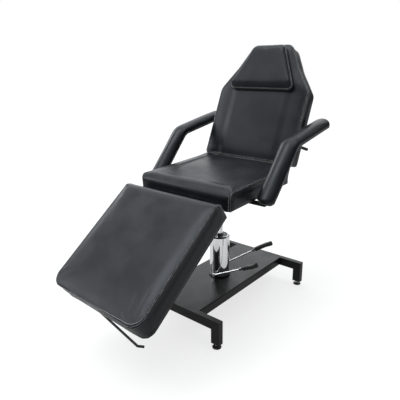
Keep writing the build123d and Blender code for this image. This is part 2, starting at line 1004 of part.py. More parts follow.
def back_side_rails():
    rail_end = back_rail_start + back_rail_length
    return both_sides(
        tube_along_y(back_rail_x(), back_rail_start, rail_end, back_underside(), back_rail_size, rail_wall)
    )


def back_cross_rails():
    half = back_rail_x() - back_rail_size / 2
    return group(
        [
            tube_along_x(y, -half, half, back_underside(), back_rail_size, rail_wall)
            for y in (back_cross_low, back_cross_high)
        ]
    )


def back_hinge_plates():
    rail_bottom = back_underside() - back_rail_size
    plate_end = back_rail_start + back_rail_size * 3
    points = [
        (ear_radius, 0),
        (back_bottom - overrun, back_underside()),
        (plate_end, back_underside()),
        (plate_end, rail_bottom),
        (back_rail_start, rail_bottom),
        (-ear_radius / 2, -ear_radius),
        (-ear_radius, 0),
    ]
    plate = side_plate(points, hinge_plate_x(), hinge_plate_thickness)
    plate += round_bar((hinge_plate_x(), 0, 0), (hinge_plate_x() + hinge_plate_thickness, 0, 0), ear_radius)
    return both_sides(bored(plate, 0, 0, m10_radius + pin_clearance))


def back_clevis():
    foot = back_underside() - back_rail_size
    lugs = clevis_lugs(back_cross_low, foot, back_strut_rise, back_strut_depth, clevis_foot)
    reach_foot = [
        (back_cross_low, foot),
        (back_cross_low + clevis_foot / 2, foot),
        (back_lever_s + clevis_radius, back_lever_depth),
        (back_lever_s, back_lever_depth - clevis_radius),
        (back_strut_rise, back_strut_depth),
    ]
    finished = []
    for lug, x in zip(lugs, (clevis_gap / 2, -clevis_gap / 2 - clevis_thickness)):
        arm = side_plate(reach_foot, x, clevis_thickness)
        low = x - overrun
        high = x + clevis_thickness + overrun
        for y, z, radius in (
            (back_lever_s, back_lever_depth, back_lever_radius + pin_clearance),
            (back_strut_rise, back_strut_depth, clevis_hole()),
        ):
            arm -= round_bar((low, y, z), (high, y, z), radius)
        finished.append(lug + arm)
    return group(finished)


def back_clevis_pin():
    return clevis_pin(back_strut_rise, back_strut_depth)


# Release lever of the backrest: a bar through the clevis lugs, a finger over the spring's pin, a bent handle
def back_release_lever():
    y = back_lever_s
    z = back_lever_depth
    path = FilletPolyline(
        (back_lever_start, y, z),
        (back_lever_reach, y, z),
        (back_lever_reach + back_lever_handle / 2, y, z - back_lever_handle),
        radius=back_lever_bend_radius,
    )
    section = Plane(origin=(back_lever_start, y, z), z_dir=(1, 0, 0)) * Circle(back_lever_radius)
    bar = sweep(section, path)
    half = back_lever_finger_width / 2
    finger = block(-half, half, y - back_lever_finger_length, y, z + half, z + half * 2)
    collar = round_bar((-half, y, z), (half, y, z), back_lever_radius + overrun)
    return bar + finger + collar


def back_lever_grip():
    rise = atan2(-back_lever_handle, back_lever_handle / 2)
    end = (back_lever_reach + back_lever_handle / 2, back_lever_depth - back_lever_handle)
    start = (end[0] - back_grip_length * cos(rise), end[1] - back_grip_length * sin(rise))
    tip = (end[0] + overrun * 3 * cos(rise), end[1] + overrun * 3 * sin(rise))
    grip = round_bar((start[0], back_lever_s, start[1]), (tip[0], back_lever_s, tip[1]), back_grip_radius)
    bore_radius = back_lever_radius + pin_clearance
    return grip - round_bar((start[0], back_lever_s, start[1]), (end[0], back_lever_s, end[1]), bore_radius)


# Leg rest, in its own frame: -Y towards the feet, +Z out of its face, origin on the hinge
def leg_points():
    low = leg_head - leg_length
    half = leg_half_width
    return [(-half, low), (half, low), (half, leg_head), (-half, leg_head)]


def leg_underside():
    return leg_seam_height - leg_thickness


def leg_board():
    return board(leg_points(), leg_foot_corner - board_inset, leg_underside())


def leg_cushion():
    radii = [leg_foot_corner, leg_foot_corner, leg_head_corner, leg_head_corner]
    form = cushion_form(leg_points(), radii, leg_underside(), leg_seam_height, leg_crown, leg_crown_inset)
    roll = (leg_roll_reach, leg_roll_drop, leg_roll_bend_in, leg_roll_bend_drop)
    return form - rolled_end(leg_head, 1, leg_seam_height, leg_crown, roll, leg_half_width) - leg_board()


def leg_side_rails():
    rail_end = leg_rail_start - leg_rail_length
    return both_sides(
        tube_along_y(back_rail_x(), rail_end, leg_rail_start, leg_underside(), leg_rail_size, rail_wall)
    )


def leg_cross_rails():
    half = back_rail_x() - leg_rail_size / 2
    return group(
        [
            tube_along_x(y, -half, half, leg_underside(), leg_rail_size, rail_wall)
            for y in (leg_cross_high, leg_cross_low)
        ]
    )


def leg_hinge_plates():
    top = leg_underside()
    bottom = top - leg_rail_size
    plate_end = leg_rail_start - leg_rail_size * 3
    points = [
        (0, ear_radius),
        (plate_end, top),
        (plate_end, bottom),
        (0, -ear_radius),
    ]
    plate = side_plate(points, hinge_plate_x(), hinge_plate_thickness)
    plate += round_bar((hinge_plate_x(), 0, 0), (hinge_plate_x() + hinge_plate_thickness, 0, 0), ear_radius)
    return both_sides(bored(plate, 0, 0, m10_radius + pin_clearance))


def leg_clevis():
    foot = leg_underside() - leg_rail_size
    return group(clevis_lugs(leg_cross_high, foot, leg_strut_rise, leg_strut_depth, leg_rail_size))


def leg_clevis_pin():
    return clevis_pin(leg_strut_rise, leg_strut_depth)


# Release lever of the leg rest: a rod under the foot end that turns on a bolt and pulls a link
def lever_line(x):
    return lever_pivot_y - (x - lever_pivot_x) * lever_slope_share


def lever_plate():
    rail_bottom = leg_underside() - leg_rail_size
    low = lever_pivot_y - lever_plate_width / 2
    high = leg_cross_low + leg_rail_size / 2
    half = lever_plate_width / 2
    x = lever_pivot_x
    y = lever_pivot_y
    plate_bottom = rail_bottom - lever_plate_thickness
    plate = block(x - half, x + half, low, high, plate_bottom, rail_bottom)
    return plate - round_bar((x, y, rail_bottom + overrun), (x, y, plate_bottom - overrun), m10_radius)


def lever_pivot_bolt():
    top = leg_underside() - leg_rail_size
    head_start = (lever_pivot_x, lever_pivot_y, lever_drop - lever_eye_height / 2 - face_clearance)
    shank = round_bar(head_start, (lever_pivot_x, lever_pivot_y, top), m10_radius - pin_clearance)
    return shank + hex_prism(head_start, (0, 0, -1), m10_head_width, m10_head_height)


def leg_release_lever():
    start = (lever_pivot_x, lever_pivot_y, lever_drop)
    elbow = (lever_elbow_x, lever_line(lever_elbow_x), lever_drop)
    tip = (lever_tip_x, elbow[1] + lever_tip_rise, lever_drop)
    path = FilletPolyline(start, elbow, tip, radius=lever_bend_radius)
    rod = sweep(Plane(origin=start, z_dir=path % 0) * Circle(lever_radius), path)
    eye = round_bar(
        (lever_pivot_x, lever_pivot_y, lever_drop - lever_eye_height / 2),
        (lever_pivot_x, lever_pivot_y, lever_drop + lever_eye_height / 2),
        lever_eye_radius,
    )
    pin_y = lever_line(link_x)
    pin_end = link_drop - link_eye_height
    pin = round_bar((link_x, pin_y, lever_drop), (link_x, pin_y, pin_end), link_pin_radius)
    lever = rod + eye + pin
    return lever - round_bar(
        (lever_pivot_x, lever_pivot_y, lever_drop - lever_eye_height),
        (lever_pivot_x, lever_pivot_y, lever_drop + lever_eye_height),
        m10_radius,
    )


def leg_release_link():
    y = lever_line(link_x)
    half = link_eye_height / 2
    start = (link_x, y, link_drop)
    path = FilletPolyline(
        start,
        (link_x, link_cross_y, link_drop),
        (0, link_cross_y, link_drop),
        (0, link_top, link_drop),
        radius=link_bend_radius,
    )
    bar = sweep(Plane(origin=start, z_dir=(0, 1, 0)) * Circle(link_radius), path)
    eye = round_bar((link_x, y, link_drop - half), (link_x, y, link_drop + half), link_eye_radius)
    hook_y = link_top - link_radius
    hook = round_bar((0, hook_y, link_drop), (0, hook_y, leg_strut_depth), link_radius)
    bore_radius = link_pin_radius + link_play
    bore = round_bar((link_x, y, link_drop - half * 2), (link_x, y, link_drop + half * 2), bore_radius)
    return (bar + eye + hook) - bore


def link_guide():
    rail_bottom = leg_underside() - leg_rail_size
    y_low = leg_cross_low - link_guide_thickness / 2
    y_high = leg_cross_low + link_guide_thickness / 2
    half = link_guide_width / 2
    tab = block(link_x - half, link_x + half, y_low, y_high, link_drop - half, rail_bottom)
    start = (link_x, y_low - overrun, link_drop)
    end = (link_x, y_high + overrun, link_drop)
    return tab - round_bar(start, end, link_radius + face_clearance)


# Gas springs, each modelled along +Y from the seat's pin and then turned into place
def strut_frame(anchor, tip):
    turn = degrees(atan2(tip[1] - anchor[1], tip[0] - anchor[0]))
    return Location((0, *anchor), (turn, 0, 0))


def strut_barrel(anchor, tip, length):
    eye = round_bar((-strut_eye_width / 2, 0, 0), (strut_eye_width / 2, 0, 0), strut_eye_radius)
    neck = round_bar((0, 0, 0), (0, barrel_radius + overrun, 0), strut_neck_radius)
    shell = round_bar((0, barrel_radius, 0), (0, length, 0), barrel_radius)
    shell = chamfer(shell.edges().group_by(Axis.Y)[-1], overrun)
    barrel = eye + neck + shell
    barrel -= round_bar((-strut_eye_width, 0, 0), (strut_eye_width, 0, 0), m10_radius + pin_clearance)
    guide_start = length - barrel_guide
    chamber_start = barrel_radius + barrel_floor
    barrel -= round_bar((0, chamber_start, 0), (0, guide_start, 0), barrel_radius - barrel_wall)
    rod_bore = strut_rod_radius + pin_clearance
    barrel -= round_bar((0, guide_start - overrun, 0), (0, length + overrun, 0), rod_bore)
    return strut_frame(anchor, tip) * barrel


def strut_rod(anchor, tip, length):
    run = hypot(tip[0] - anchor[0], tip[1] - anchor[1])
    eye = round_bar((-strut_eye_width / 2, run, 0), (strut_eye_width / 2, run, 0), strut_eye_radius)
    head = round_bar((0, run - strut_head_length / 2, 0), (0, run, 0), strut_head_radius)
    bar = round_bar((0, run - length, 0), (0, run, 0), strut_rod_radius)
    piston = round_bar((0, run - length, 0), (0, run - length + piston_height, 0), piston_radius)
    rod = eye + head + bar + piston
    rod -= round_bar((-strut_eye_width, run, 0), (strut_eye_width, run, 0), m10_radius + pin_clearance)
    return strut_frame(anchor, tip) * rod


# Armrests, in a frame whose origin is the pivot; the right one is modelled and the left one mirrored
def arm_axes(angle):
    along = (cos(radians(angle)), sin(radians(angle)))
    across = (-along[1], along[0])
    return along, across


def arm_point(base, along, across, distance, height):
    return (
        base[0] + along[0] * distance + across[0] * height,
        base[1] + along[1] * distance + across[1] * height,
    )


def arm_lines(height):
    along, across = arm_axes(arm_lower_angle)
    rear_along, rear_across = arm_axes(arm_rear_angle)
    bend = arm_point((0, 0), along, across, arm_lower_start + arm_lower_length, arm_base_offset)
    half_turn = radians(arm_lower_angle - arm_rear_angle) / 2
    shift = height * tan(half_turn)
    low = arm_point((0, 0), along, across, arm_lower_start, arm_base_offset + height)
    corner = arm_point(bend, along, across, shift, height)
    rear = arm_point(bend, rear_along, rear_across, arm_rear_length, height)
    return low, corner, rear


def arm_path(height, x, bend_radius, rear_share):
    low, corner, rear = arm_lines(height)
    rear = (
        corner[0] + (rear[0] - corner[0]) * rear_share,
        corner[1] + (rear[1] - corner[1]) * rear_share,
    )
    return FilletPolyline((x, *low), (x, *corner), (x, *rear), radius=bend_radius)


def arm_pad():
    x = (arm_inner_x + arm_outer_x) / 2
    half = (arm_outer_x - arm_inner_x) / 2
    path = arm_path(0, x, arm_bend_radius, 1)
    lower = [(half - arm_bottom_tuck, 0), (half, arm_seam_low), (half, arm_side_height)]
    upper = ThreePointArc((half, arm_side_height), (arm_crown_flat, arm_crown_rise), (0, arm_height))
    left = ThreePointArc((0, arm_height), (-arm_crown_flat, arm_crown_rise), (-half, arm_side_height))
    rest = [(-half, arm_side_height), (-half, arm_seam_low), (-half + arm_bottom_tuck, 0), lower[0]]
    outline = Polyline(*lower) + upper + left + Polyline(*rest)
    start = path @ 0
    section = Plane(origin=start, x_dir=(-1, 0, 0), z_dir=path % 0) * make_face(outline)
    return sweep(section, path)


def arm_pad_rounded():
    pad = arm_pad()
    x = (arm_inner_x + arm_outer_x) / 2
    half = (arm_outer_x - arm_inner_x) / 2 + overrun
    low, corner, rear = arm_lines(0)
    for tip, angle, side in ((low, arm_lower_angle, -1), (rear, arm_rear_angle, 1)):
        plan = RectangleRounded(half * 2, arm_lower_length * 2, arm_end_radius)
        keep = Pos(x, -side * arm_lower_length, -overrun * 2) * extrude(plan, amount=arm_height + overrun * 4)
        reach = arm_end_radius
        guard = block(x - half * 2, x + half * 2, -reach, reach, -overrun * 2, arm_height + overrun * 2)
        pad -= Location((0, *tip), (angle, 0, 0)) * (guard - keep)
    return pad


def arm_bar():
    x = arm_bar_x()
    height = -arm_bar_thickness / 2
    share = arm_bar_rear / arm_rear_length
    path = arm_path(height, x, arm_bend_radius - arm_bar_thickness / 2, share)
    start = path @ 0
    section = Plane(origin=start, x_dir=(1, 0, 0), z_dir=path % 0)
    bar = sweep(section * Rectangle(arm_bar_width, arm_bar_thickness), path)
    for point, across in arm_screw_places():
        inner = (point[0] - across[0] * arm_screw_length, point[1] - across[1] * arm_screw_length)
        outer = (point[0] + across[0] * arm_screw_length, point[1] + across[1] * arm_screw_length)
        bar -= round_bar((x, *inner), (x, *outer), m6_radius + face_clearance)
    return bar


def arm_bar_x():
    return arm_ear_x() + arm_ear_thickness + arm_bar_width / 2


def arm_ear_x():
    return arm_bracket_x + arm_bracket_thickness + arm_ear_gap


def arm_screw_places():
    along, across = arm_axes(arm_lower_angle)
    rear_along, rear_across = arm_axes(arm_rear_angle)
    low, corner, rear = arm_lines(0)
    places = []
    for step in (1, 2):
        places.append((arm_point(low, along, across, arm_screw_spacing * step, 0), across))
        places.append((arm_point(corner, rear_along, rear_across, arm_screw_spacing * step, 0), rear_across))
    return places


def arm_screws():
    screws = []
    x = arm_bar_x()
    for point, across in arm_screw_places():
        head_start = (point[0] - across[0] * arm_bar_thickness, point[1] - across[1] * arm_bar_thickness)
        head_end = (head_start[0] - across[0] * m6_head_height, head_start[1] - across[1] * m6_head_height)
        tip = (point[0] + across[0] * arm_screw_length, point[1] + across[1] * arm_screw_length)
        head = round_bar((x, *head_end), (x, *head_start), m6_head_radius)
        screws.append(head + round_bar((x, *head_start), (x, *tip), m6_radius))
    return group(screws)


def arm_ear():
    along, across = arm_axes(arm_lower_angle)
    under = arm_base_offset - arm_bar_thickness
    seat_low = arm_point((0, 0), along, across, arm_lower_start, under + arm_bar_thickness)
    seat_high = arm_point((0, 0), along, across, arm_lower_start + arm_ear_seat, under + arm_bar_thickness)
    points = [seat_low, seat_high, (ear_radius, 0), (0, -ear_radius), (-ear_radius, 0)]
    ear = side_plate(points, arm_ear_x(), arm_ear_thickness)
    ear += round_bar((arm_ear_x(), 0, 0), (arm_ear_x() + arm_ear_thickness, 0, 0), ear_radius)
    outer = arm_ear_x() + arm_ear_thickness + overrun
    return ear - round_bar((arm_ear_x() - overrun, 0, 0), (outer, 0, 0), m10_radius + pin_clearance)


def arm_steel():
    return arm_bar() + arm_ear()


def arm_pad_finished():
    pad = arm_pad_rounded()
    x = arm_bar_x()
    for point, across in arm_screw_places():
        tip = (
            point[0] + across[0] * (arm_screw_length + face_clearance),
            point[1] + across[1] * (arm_screw_length + face_clearance),
        )
        start = (point[0] - across[0] * overrun, point[1] - across[1] * overrun)
        pad -= round_bar((x, *start), (x, *tip), m6_radius + pin_clearance)
    return pad


def arm_brackets():
    x_low = rail_x + rail_size / 2
    v_low = arm_pivot_v - arm_bracket_width / 2
    v_high = arm_pivot_v + arm_bracket_width / 2
    x_high = arm_bracket_x + arm_bracket_thickness
    bar = block(x_low, x_high, v_low, v_high, -rail_size, -rail_size + arm_bracket_thickness)
    v_near = arm_pivot_v - arm_lobe_radius
    v_far = arm_pivot_v + arm_lobe_radius
    ear = block(arm_bracket_x, x_high, v_near, v_far, -rail_size, arm_pivot_w)
    y = arm_pivot_v
    z = arm_pivot_w
    ear += round_bar((arm_bracket_x, y, z), (x_high, y, z), arm_lobe_radius)
    bore = round_bar((arm_bracket_x - overrun, y, z), (x_high + overrun, y, z), m10_radius + pin_clearance)
    return both_sides((bar + ear) - bore)


def arm_pivot_bolts():
    y = arm_pivot_v
    z = arm_pivot_w
    inner = arm_bracket_x - m10_nut_height - hinge_bolt_spare
    outer = arm_ear_x() + arm_ear_thickness + face_clearance
    bracket_face = arm_bracket_x + arm_bracket_thickness
    head = hex_prism((outer, y, z), (1, 0, 0), m10_head_width, m10_head_height)
    shank = round_bar((inner, y, z), (outer, y, z), m10_radius)
    washer_end = bracket_face + arm_ear_gap - face_clearance
    washer = round_bar((bracket_face, y, z), (washer_end, y, z), m10_washer_radius)
    nut = hex_prism((arm_bracket_x - m10_nut_height, y, z), (1, 0, 0), m10_head_width, m10_nut_height)
    loose = round_bar((inner - overrun, y, z), (outer + overrun, y, z), m10_radius + pin_clearance)
    return both_sides(group([head + shank, washer - loose, nut - loose]))


# Writing the sub-parts
os.makedirs("parts", exist_ok=True)

front_beam, front_legs = cross_frame(front_beam_y)
rear_beam, rear_legs = cross_frame(rear_beam_y)
write(front_beam, "front_cross_beam")
write(rear_beam, "rear_cross_beam")
write(group([front_legs, rear_legs]), "cross_frame_legs")
write(group([foot_plug(x, y) for x, y in foot_places()]), "foot_plugs")
write(group([foot_stud(x, y) for x, y in foot_places()]), "foot_studs")
write(group([foot_nut(x, y) for x, y in foot_places()]), "foot_lock_nuts")
write(group([foot_pad(x, y) for x, y in foot_places()]), "foot_pads")
write(base_plate(), "base_plate")
write(plate_bolts(), "base_plate_bolts")
write(pump_body(), "pump_body")
write(pump_cover(), "pump_cover")
write(pump_base_ring(), "pump_base_ring")
write(pump_cap(), "pump_cap")
write(wiper_seal(), "pump_wiper_seal")
write(pump_bolts(), "pump_bolts")
write(ram(), "pump_ram")

write(pedal_lever(1, lift_runs), "lift_pedal_lever")
write(pedal_grip(1, lift_runs, lift_grip_runs), "lift_pedal_grip")
write(pedal_lever(-1, release_runs), "release_pedal_lever")
write(pedal_grip(-1, release_runs, release_grip_runs), "release_pedal_grip")

write(ram_saddle(), "ram_saddle")
write(place(seat_place, saddle_bolts()), "saddle_bolts")
write(place(seat_place, seat_side_rails()), "seat_side_rails")
write(place(seat_place, seat_cross_rails()), "seat_cross_rails")
write(place(seat_place, group([back_hinge_ears(), leg_hinge_ears()])), "seat_hinge_ears")
hinge_bolts = [hinge_bolt(back_hinge_v, back_hinge_w), hinge_bolt(leg_hinge_v, leg_hinge_w)]
write(place(seat_place, group(hinge_bolts)), "hinge_bolts")
write(place(seat_place, group([seat_clevises(), seat_clevis_pins()])), "seat_clevises")
write(place(seat_place, seat_board()), "seat_board")
write(place(seat_place, seat_cushion()), "seat_cushion")
write(place(seat_place, arm_brackets()), "arm_brackets")
write(place(seat_place, arm_pivot_bolts()), "arm_pivot_bolts")

write(place(back_place, back_side_rails()), "back_side_rails")
write(place(back_place, back_cross_rails()), "back_cross_rails")
write(place(back_place, back_hinge_plates()), "back_hinge_plates")
write(place(back_place, group([back_clevis(), back_clevis_pin()])), "back_clevis")
write(place(back_place, back_board()), "back_board")
write(place(back_place, back_cushion()), "back_cushion")
write(place(back_place, head_pillow()), "head_pillow")
write(place(back_place, back_release_lever()), "back_release_lever")
write(place(back_place, back_lever_grip()), "back_lever_grip")

write(place(leg_place, leg_side_rails()), "leg_side_rails")
write(place(leg_place, leg_cross_rails()), "leg_cross_rails")
write(place(leg_place, leg_hinge_plates()), "leg_hinge_plates")
write(place(leg_place, group([leg_clevis(), leg_clevis_pin()])), "leg_clevis")
write(place(leg_place, leg_board()), "leg_board")
write(place(leg_place, leg_cushion()), "leg_cushion")
write(place(leg_place, group([lever_plate(), link_guide(), lever_pivot_bolt()])), "leg_lever_mount")
write(place(leg_place, leg_release_lever()), "leg_release_lever")
write(place(leg_place, leg_release_link()), "leg_release_link")

write(strut_barrel(back_strut_anchor, back_strut_tip, back_barrel_length), "back_spring_barrel")
write(strut_rod(back_strut_anchor, back_strut_tip, back_rod_length), "back_spring_rod")
write(strut_barrel(leg_strut_anchor, leg_strut_tip, leg_barrel_length), "leg_spring_barrel")
write(strut_rod(leg_strut_anchor, leg_strut_tip, leg_rod_length), "leg_spring_rod")

for hand in ("right", "left"):
    for build, name in ((arm_pad_finished, "pad"), (arm_steel, "bar"), (arm_screws, "screws")):
        shape = build() if hand == "right" else mirror(build(), Plane.YZ)
        write(place(arm_place, shape), "arm_" + name + "_" + hand)
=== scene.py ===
import json
import math
import bpy
import numpy as np
from mathutils import Matrix, Vector
from mathutils.bvhtree import BVHTree
from mathutils.kdtree import KDTree


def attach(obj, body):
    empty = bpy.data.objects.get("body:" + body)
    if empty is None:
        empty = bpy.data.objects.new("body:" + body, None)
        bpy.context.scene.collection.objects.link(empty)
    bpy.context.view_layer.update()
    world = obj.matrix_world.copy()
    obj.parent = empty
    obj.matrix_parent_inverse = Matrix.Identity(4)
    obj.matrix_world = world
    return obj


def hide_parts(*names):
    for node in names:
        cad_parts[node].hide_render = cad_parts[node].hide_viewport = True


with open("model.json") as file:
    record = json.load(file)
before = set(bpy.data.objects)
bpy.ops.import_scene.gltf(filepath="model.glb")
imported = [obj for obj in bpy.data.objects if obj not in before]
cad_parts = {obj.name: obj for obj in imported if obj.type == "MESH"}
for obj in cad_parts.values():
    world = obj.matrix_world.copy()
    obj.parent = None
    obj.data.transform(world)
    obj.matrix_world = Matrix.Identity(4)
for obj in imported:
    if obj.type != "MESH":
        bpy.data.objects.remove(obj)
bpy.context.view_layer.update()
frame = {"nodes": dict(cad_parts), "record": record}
nodes = frame["nodes"]
scene = bpy.context.scene
print("frame loaded:", len(nodes), "nodes")


def deselectAll():
    if bpy.context.mode != "OBJECT":
        bpy.ops.object.mode_set(mode="OBJECT")
    bpy.ops.object.select_all(action="DESELECT")


def makeActive(piece):
    deselectAll()
    piece.select_set(True)
    bpy.context.view_layer.objects.active = piece


def applyModifier(piece, kind, name, **values):
    makeActive(piece)
    modifier = piece.modifiers.new(name, kind)
    for key, value in values.items():
        setattr(modifier, key, value)
    bpy.ops.object.modifier_apply(modifier=modifier.name)


def readPoints(mesh):
    flat = np.empty(len(mesh.vertices) * 3)
    mesh.vertices.foreach_get("co", flat)
    return flat.reshape(-1, 3)


def writePoints(mesh, points):
    mesh.vertices.foreach_set("co", np.asarray(points, float).ravel())
    mesh.update()


# The photograph's viewpoint: angles in degrees, lens and sensor in millimetres
viewpoint = {
    "place": (1.39876, -1.66743, 1.33824),
    "turn": 40.25,
    "lift": 17.66,
    "roll": -0.77,
    "lens": 38.63,
    "sensor": 36.0,
    "farthest": 60.0,
}
deselectAll()
bpy.ops.object.camera_add()
camera = bpy.context.object
camera.name = "photoCamera"
camera.data.lens = viewpoint["lens"]
camera.data.sensor_width = viewpoint["sensor"]
camera.data.clip_end = viewpoint["farthest"]
camera.matrix_world = (
    Matrix.Translation(viewpoint["place"])
    @ Matrix.Rotation(math.radians(viewpoint["turn"]), 4, "Z")
    @ Matrix.Rotation(math.radians(90 - viewpoint["lift"]), 4, "X")
    @ Matrix.Rotation(math.radians(viewpoint["roll"]), 4, "Z")
)
scene.camera = camera
scene.view_settings.view_transform = "Standard"


def newGroup(name, inputs, outputs):
    group = bpy.data.node_groups.new(name, "ShaderNodeTree")
    for label, value in inputs:  # an input without a value is a vector
        kind = "NodeSocketVector" if value is None else "NodeSocketFloat"
        socket = group.interface.new_socket(label, in_out="INPUT", socket_type=kind)
        if value is not None:
            socket.default_value = value
    for label in outputs:
        kind = "NodeSocketVector" if label == "Normal" else "NodeSocketFloat"
        group.interface.new_socket(label, in_out="OUTPUT", socket_type=kind)
    return group, group.nodes.new("NodeGroupInput"), group.nodes.new("NodeGroupOutput")


def addNode(tree, kind, links=(), **values):
    node = tree.nodes.new(kind)
    for key, value in values.items():
        setattr(node, key, value)
    for socket, source in links:
        if isinstance(source, bpy.types.NodeSocket):
            tree.links.new(source, node.inputs[socket])
        else:
            node.inputs[socket].default_value = source
    return node


def mathNode(tree, operation, first, second=0.0, third=0.0):
    return addNode(
        tree, "ShaderNodeMath", [(0, first), (1, second), (2, third)], operation=operation
    ).outputs[0]


def timesNode(tree, first, second):
    return mathNode(tree, "MULTIPLY", first, second)


def dotNode(tree, first, second):
    return addNode(
        tree, "ShaderNodeVectorMath", [(0, first), (1, second)], operation="DOT_PRODUCT"
    ).outputs["Value"]


def rampNode(tree, value, low, high, fromValue=0.0, toValue=1.0):
    ends = [("From Min", low), ("From Max", high), ("To Min", fromValue), ("To Max", toValue)]
    return addNode(
        tree, "ShaderNodeMapRange", [("Value", value)] + ends, interpolation_type="SMOOTHSTEP"
    ).outputs["Result"]


def noiseNode(tree, where, scale, detail, **values):
    links = [("Vector", where), ("Scale", scale), ("Detail", detail)]
    return addNode(tree, "ShaderNodeTexNoise", links, **values).outputs["Fac"]


def lineNoise(tree, along, scale):
    links = [("W", along), ("Scale", scale)]
    return addNode(tree, "ShaderNodeTexNoise", links, noise_dimensions="1D").outputs["Fac"]


def bumpNode(tree, strength, depth, height, base=None):
    links = [("Strength", strength), ("Distance", depth), ("Height", height)]
    if base is not None:
        links.append(("Normal", base))
    return addNode(tree, "ShaderNodeBump", links).outputs["Normal"]


grainPattern = {
    "smooth": 0.6,
    "crease": (160.0, 4.0),  # scale and detail, as in the next two
    "patches": (9.0, 3.0),
    "soft": (16.0, 1.0),
}


# Pebbled grain of coated upholstery: small cells, fine creases and slow patches of sheen
def buildLeatherGrain():
    group, given, out = newGroup(
        "leatherGrain",
        [("Vector", None), ("Cell", 700.0), ("Crease", 0.35)],
        ["Height", "Patches", "Soft"],
    )
    where = given.outputs["Vector"]
    cells = addNode(
        group, "ShaderNodeTexVoronoi",
        [("Vector", where), ("Scale", given.outputs["Cell"]), ("Smoothness", grainPattern["smooth"])],
        feature="SMOOTH_F1",
    )
    crease = noiseNode(group, where, *grainPattern["crease"])
    valley = mathNode(group, "SUBTRACT", 1.0, cells.outputs["Distance"])
    creased = timesNode(group, crease, given.outputs["Crease"])
    group.links.new(mathNode(group, "ADD", valley, creased), out.inputs["Height"])
    group.links.new(noiseNode(group, where, *grainPattern["patches"]), out.inputs["Patches"])
    group.links.new(noiseNode(group, where, *grainPattern["soft"]), out.inputs["Soft"])
    return group


seamPattern = {
    "grooveEdge": (0.4, 1.6),  # in groove widths from the seam
    "wobbleScale": 38.0,
    "wobbleTurn": 5.0,
    "strengthScale": 9.0,
    "lively": (0.38, 0.62, 0.25, 1.0),
}


# A sewn seam: a groove where the panels meet, with gathers that fade away from it
def buildSewnSeam():
    group, given, out = newGroup(
        "sewnSeam",
        [("Across", 0.0), ("Along", 0.0), ("Groove", 0.0012)]
        + [("Gather Length", 0.011), ("Gather Reach", 0.014)],
        ["Groove", "Gathers"],
    )
    along = given.outputs["Along"]
    gap = mathNode(group, "ABSOLUTE", given.outputs["Across"])
    ratio = mathNode(group, "DIVIDE", gap, given.outputs["Groove"])
    group.links.new(rampNode(group, ratio, *seamPattern["grooveEdge"], 1.0, 0.0), out.inputs["Groove"])
    wobble = lineNoise(group, along, seamPattern["wobbleScale"])
    strength = lineNoise(group, along, seamPattern["strengthScale"])
    turns = mathNode(group, "DIVIDE", along, given.outputs["Gather Length"])
    turned = timesNode(group, turns, math.tau)
    phase = mathNode(group, "MULTIPLY_ADD", wobble, seamPattern["wobbleTurn"], turned)
    wave = mathNode(group, "SINE", phase)
    reach = mathNode(group, "DIVIDE", gap, given.outputs["Gather Reach"])
    fade = mathNode(group, "POWER", math.e, timesNode(group, reach, -1.0))
    lively = rampNode(group, strength, *seamPattern["lively"])
    group.links.new(timesNode(group, timesNode(group, wave, fade), lively), out.inputs["Gathers"])
    return group


wearPattern = {
    "turned": (0.995, 0.86),  # how far a rounded normal agrees with the flat one
    "chips": (90.0, 6.0),
    "patchy": (0.45, 0.65),
    "samples": 4,
}


# Edges that hands and shoes have rubbed, found where a rounded normal leaves the flat one
def buildEdgeWear():
    group, given, out = newGroup(
        "edgeWear",
        [("Vector", None), ("Radius", 0.0012), ("Amount", 0.5)],
        ["Mask", "Normal"],
    )
    rounded = addNode(
        group, "ShaderNodeBevel", [("Radius", given.outputs["Radius"])], samples=wearPattern["samples"]
    ).outputs["Normal"]
    flat = addNode(group, "ShaderNodeNewGeometry").outputs["Normal"]
    edge = rampNode(group, dotNode(group, rounded, flat), *wearPattern["turned"])
    chips = noiseNode(group, given.outputs["Vector"], *wearPattern["chips"])
    patchy = rampNode(group, chips, *wearPattern["patchy"])
    worn = timesNode(group, timesNode(group, edge, patchy), given.outputs["Amount"])
    group.links.new(worn, out.inputs["Mask"])
    group.links.new(rounded, out.inputs["Normal"])
    return group


smudgePattern = {
    "cloudDetail": 5.0,
    "cloudRoughness": 0.6,
    "stretch": (1.0, 14.0, 1.0),
    "hairs": (45.0, 8.0),
    "hairEdge": (0.62, 0.7),
}


# Handling marks: long fine scratches and cloudy smudges
def buildSmudges():
    group, given, out = newGroup(
        "smudges",
        [("Vector", None), ("Scale", 14.0)],
        ["Cloud", "Scratch"],
    )
    where = given.outputs["Vector"]
    cloud = addNode(
        group, "ShaderNodeTexNoise",
        [("Vector", where), ("Scale", given.outputs["Scale"]), ("Detail", smudgePattern["cloudDetail"])],
    )
    cloud.inputs["Roughness"].default_value = smudgePattern["cloudRoughness"]
    stretched = addNode(
        group, "ShaderNodeMapping", [("Vector", where), ("Scale", smudgePattern["stretch"])]
    ).outputs["Vector"]
    hair = noiseNode(group, stretched, *smudgePattern["hairs"])
    group.links.new(cloud.outputs["Fac"], out.inputs["Cloud"])
    group.links.new(rampNode(group, hair, *smudgePattern["hairEdge"]), out.inputs["Scratch"])
    return group


dustPattern = {"upward": (0.5, 1.0), "cloud": (22.0, 7.0), "specks": (0.42, 0.75)}


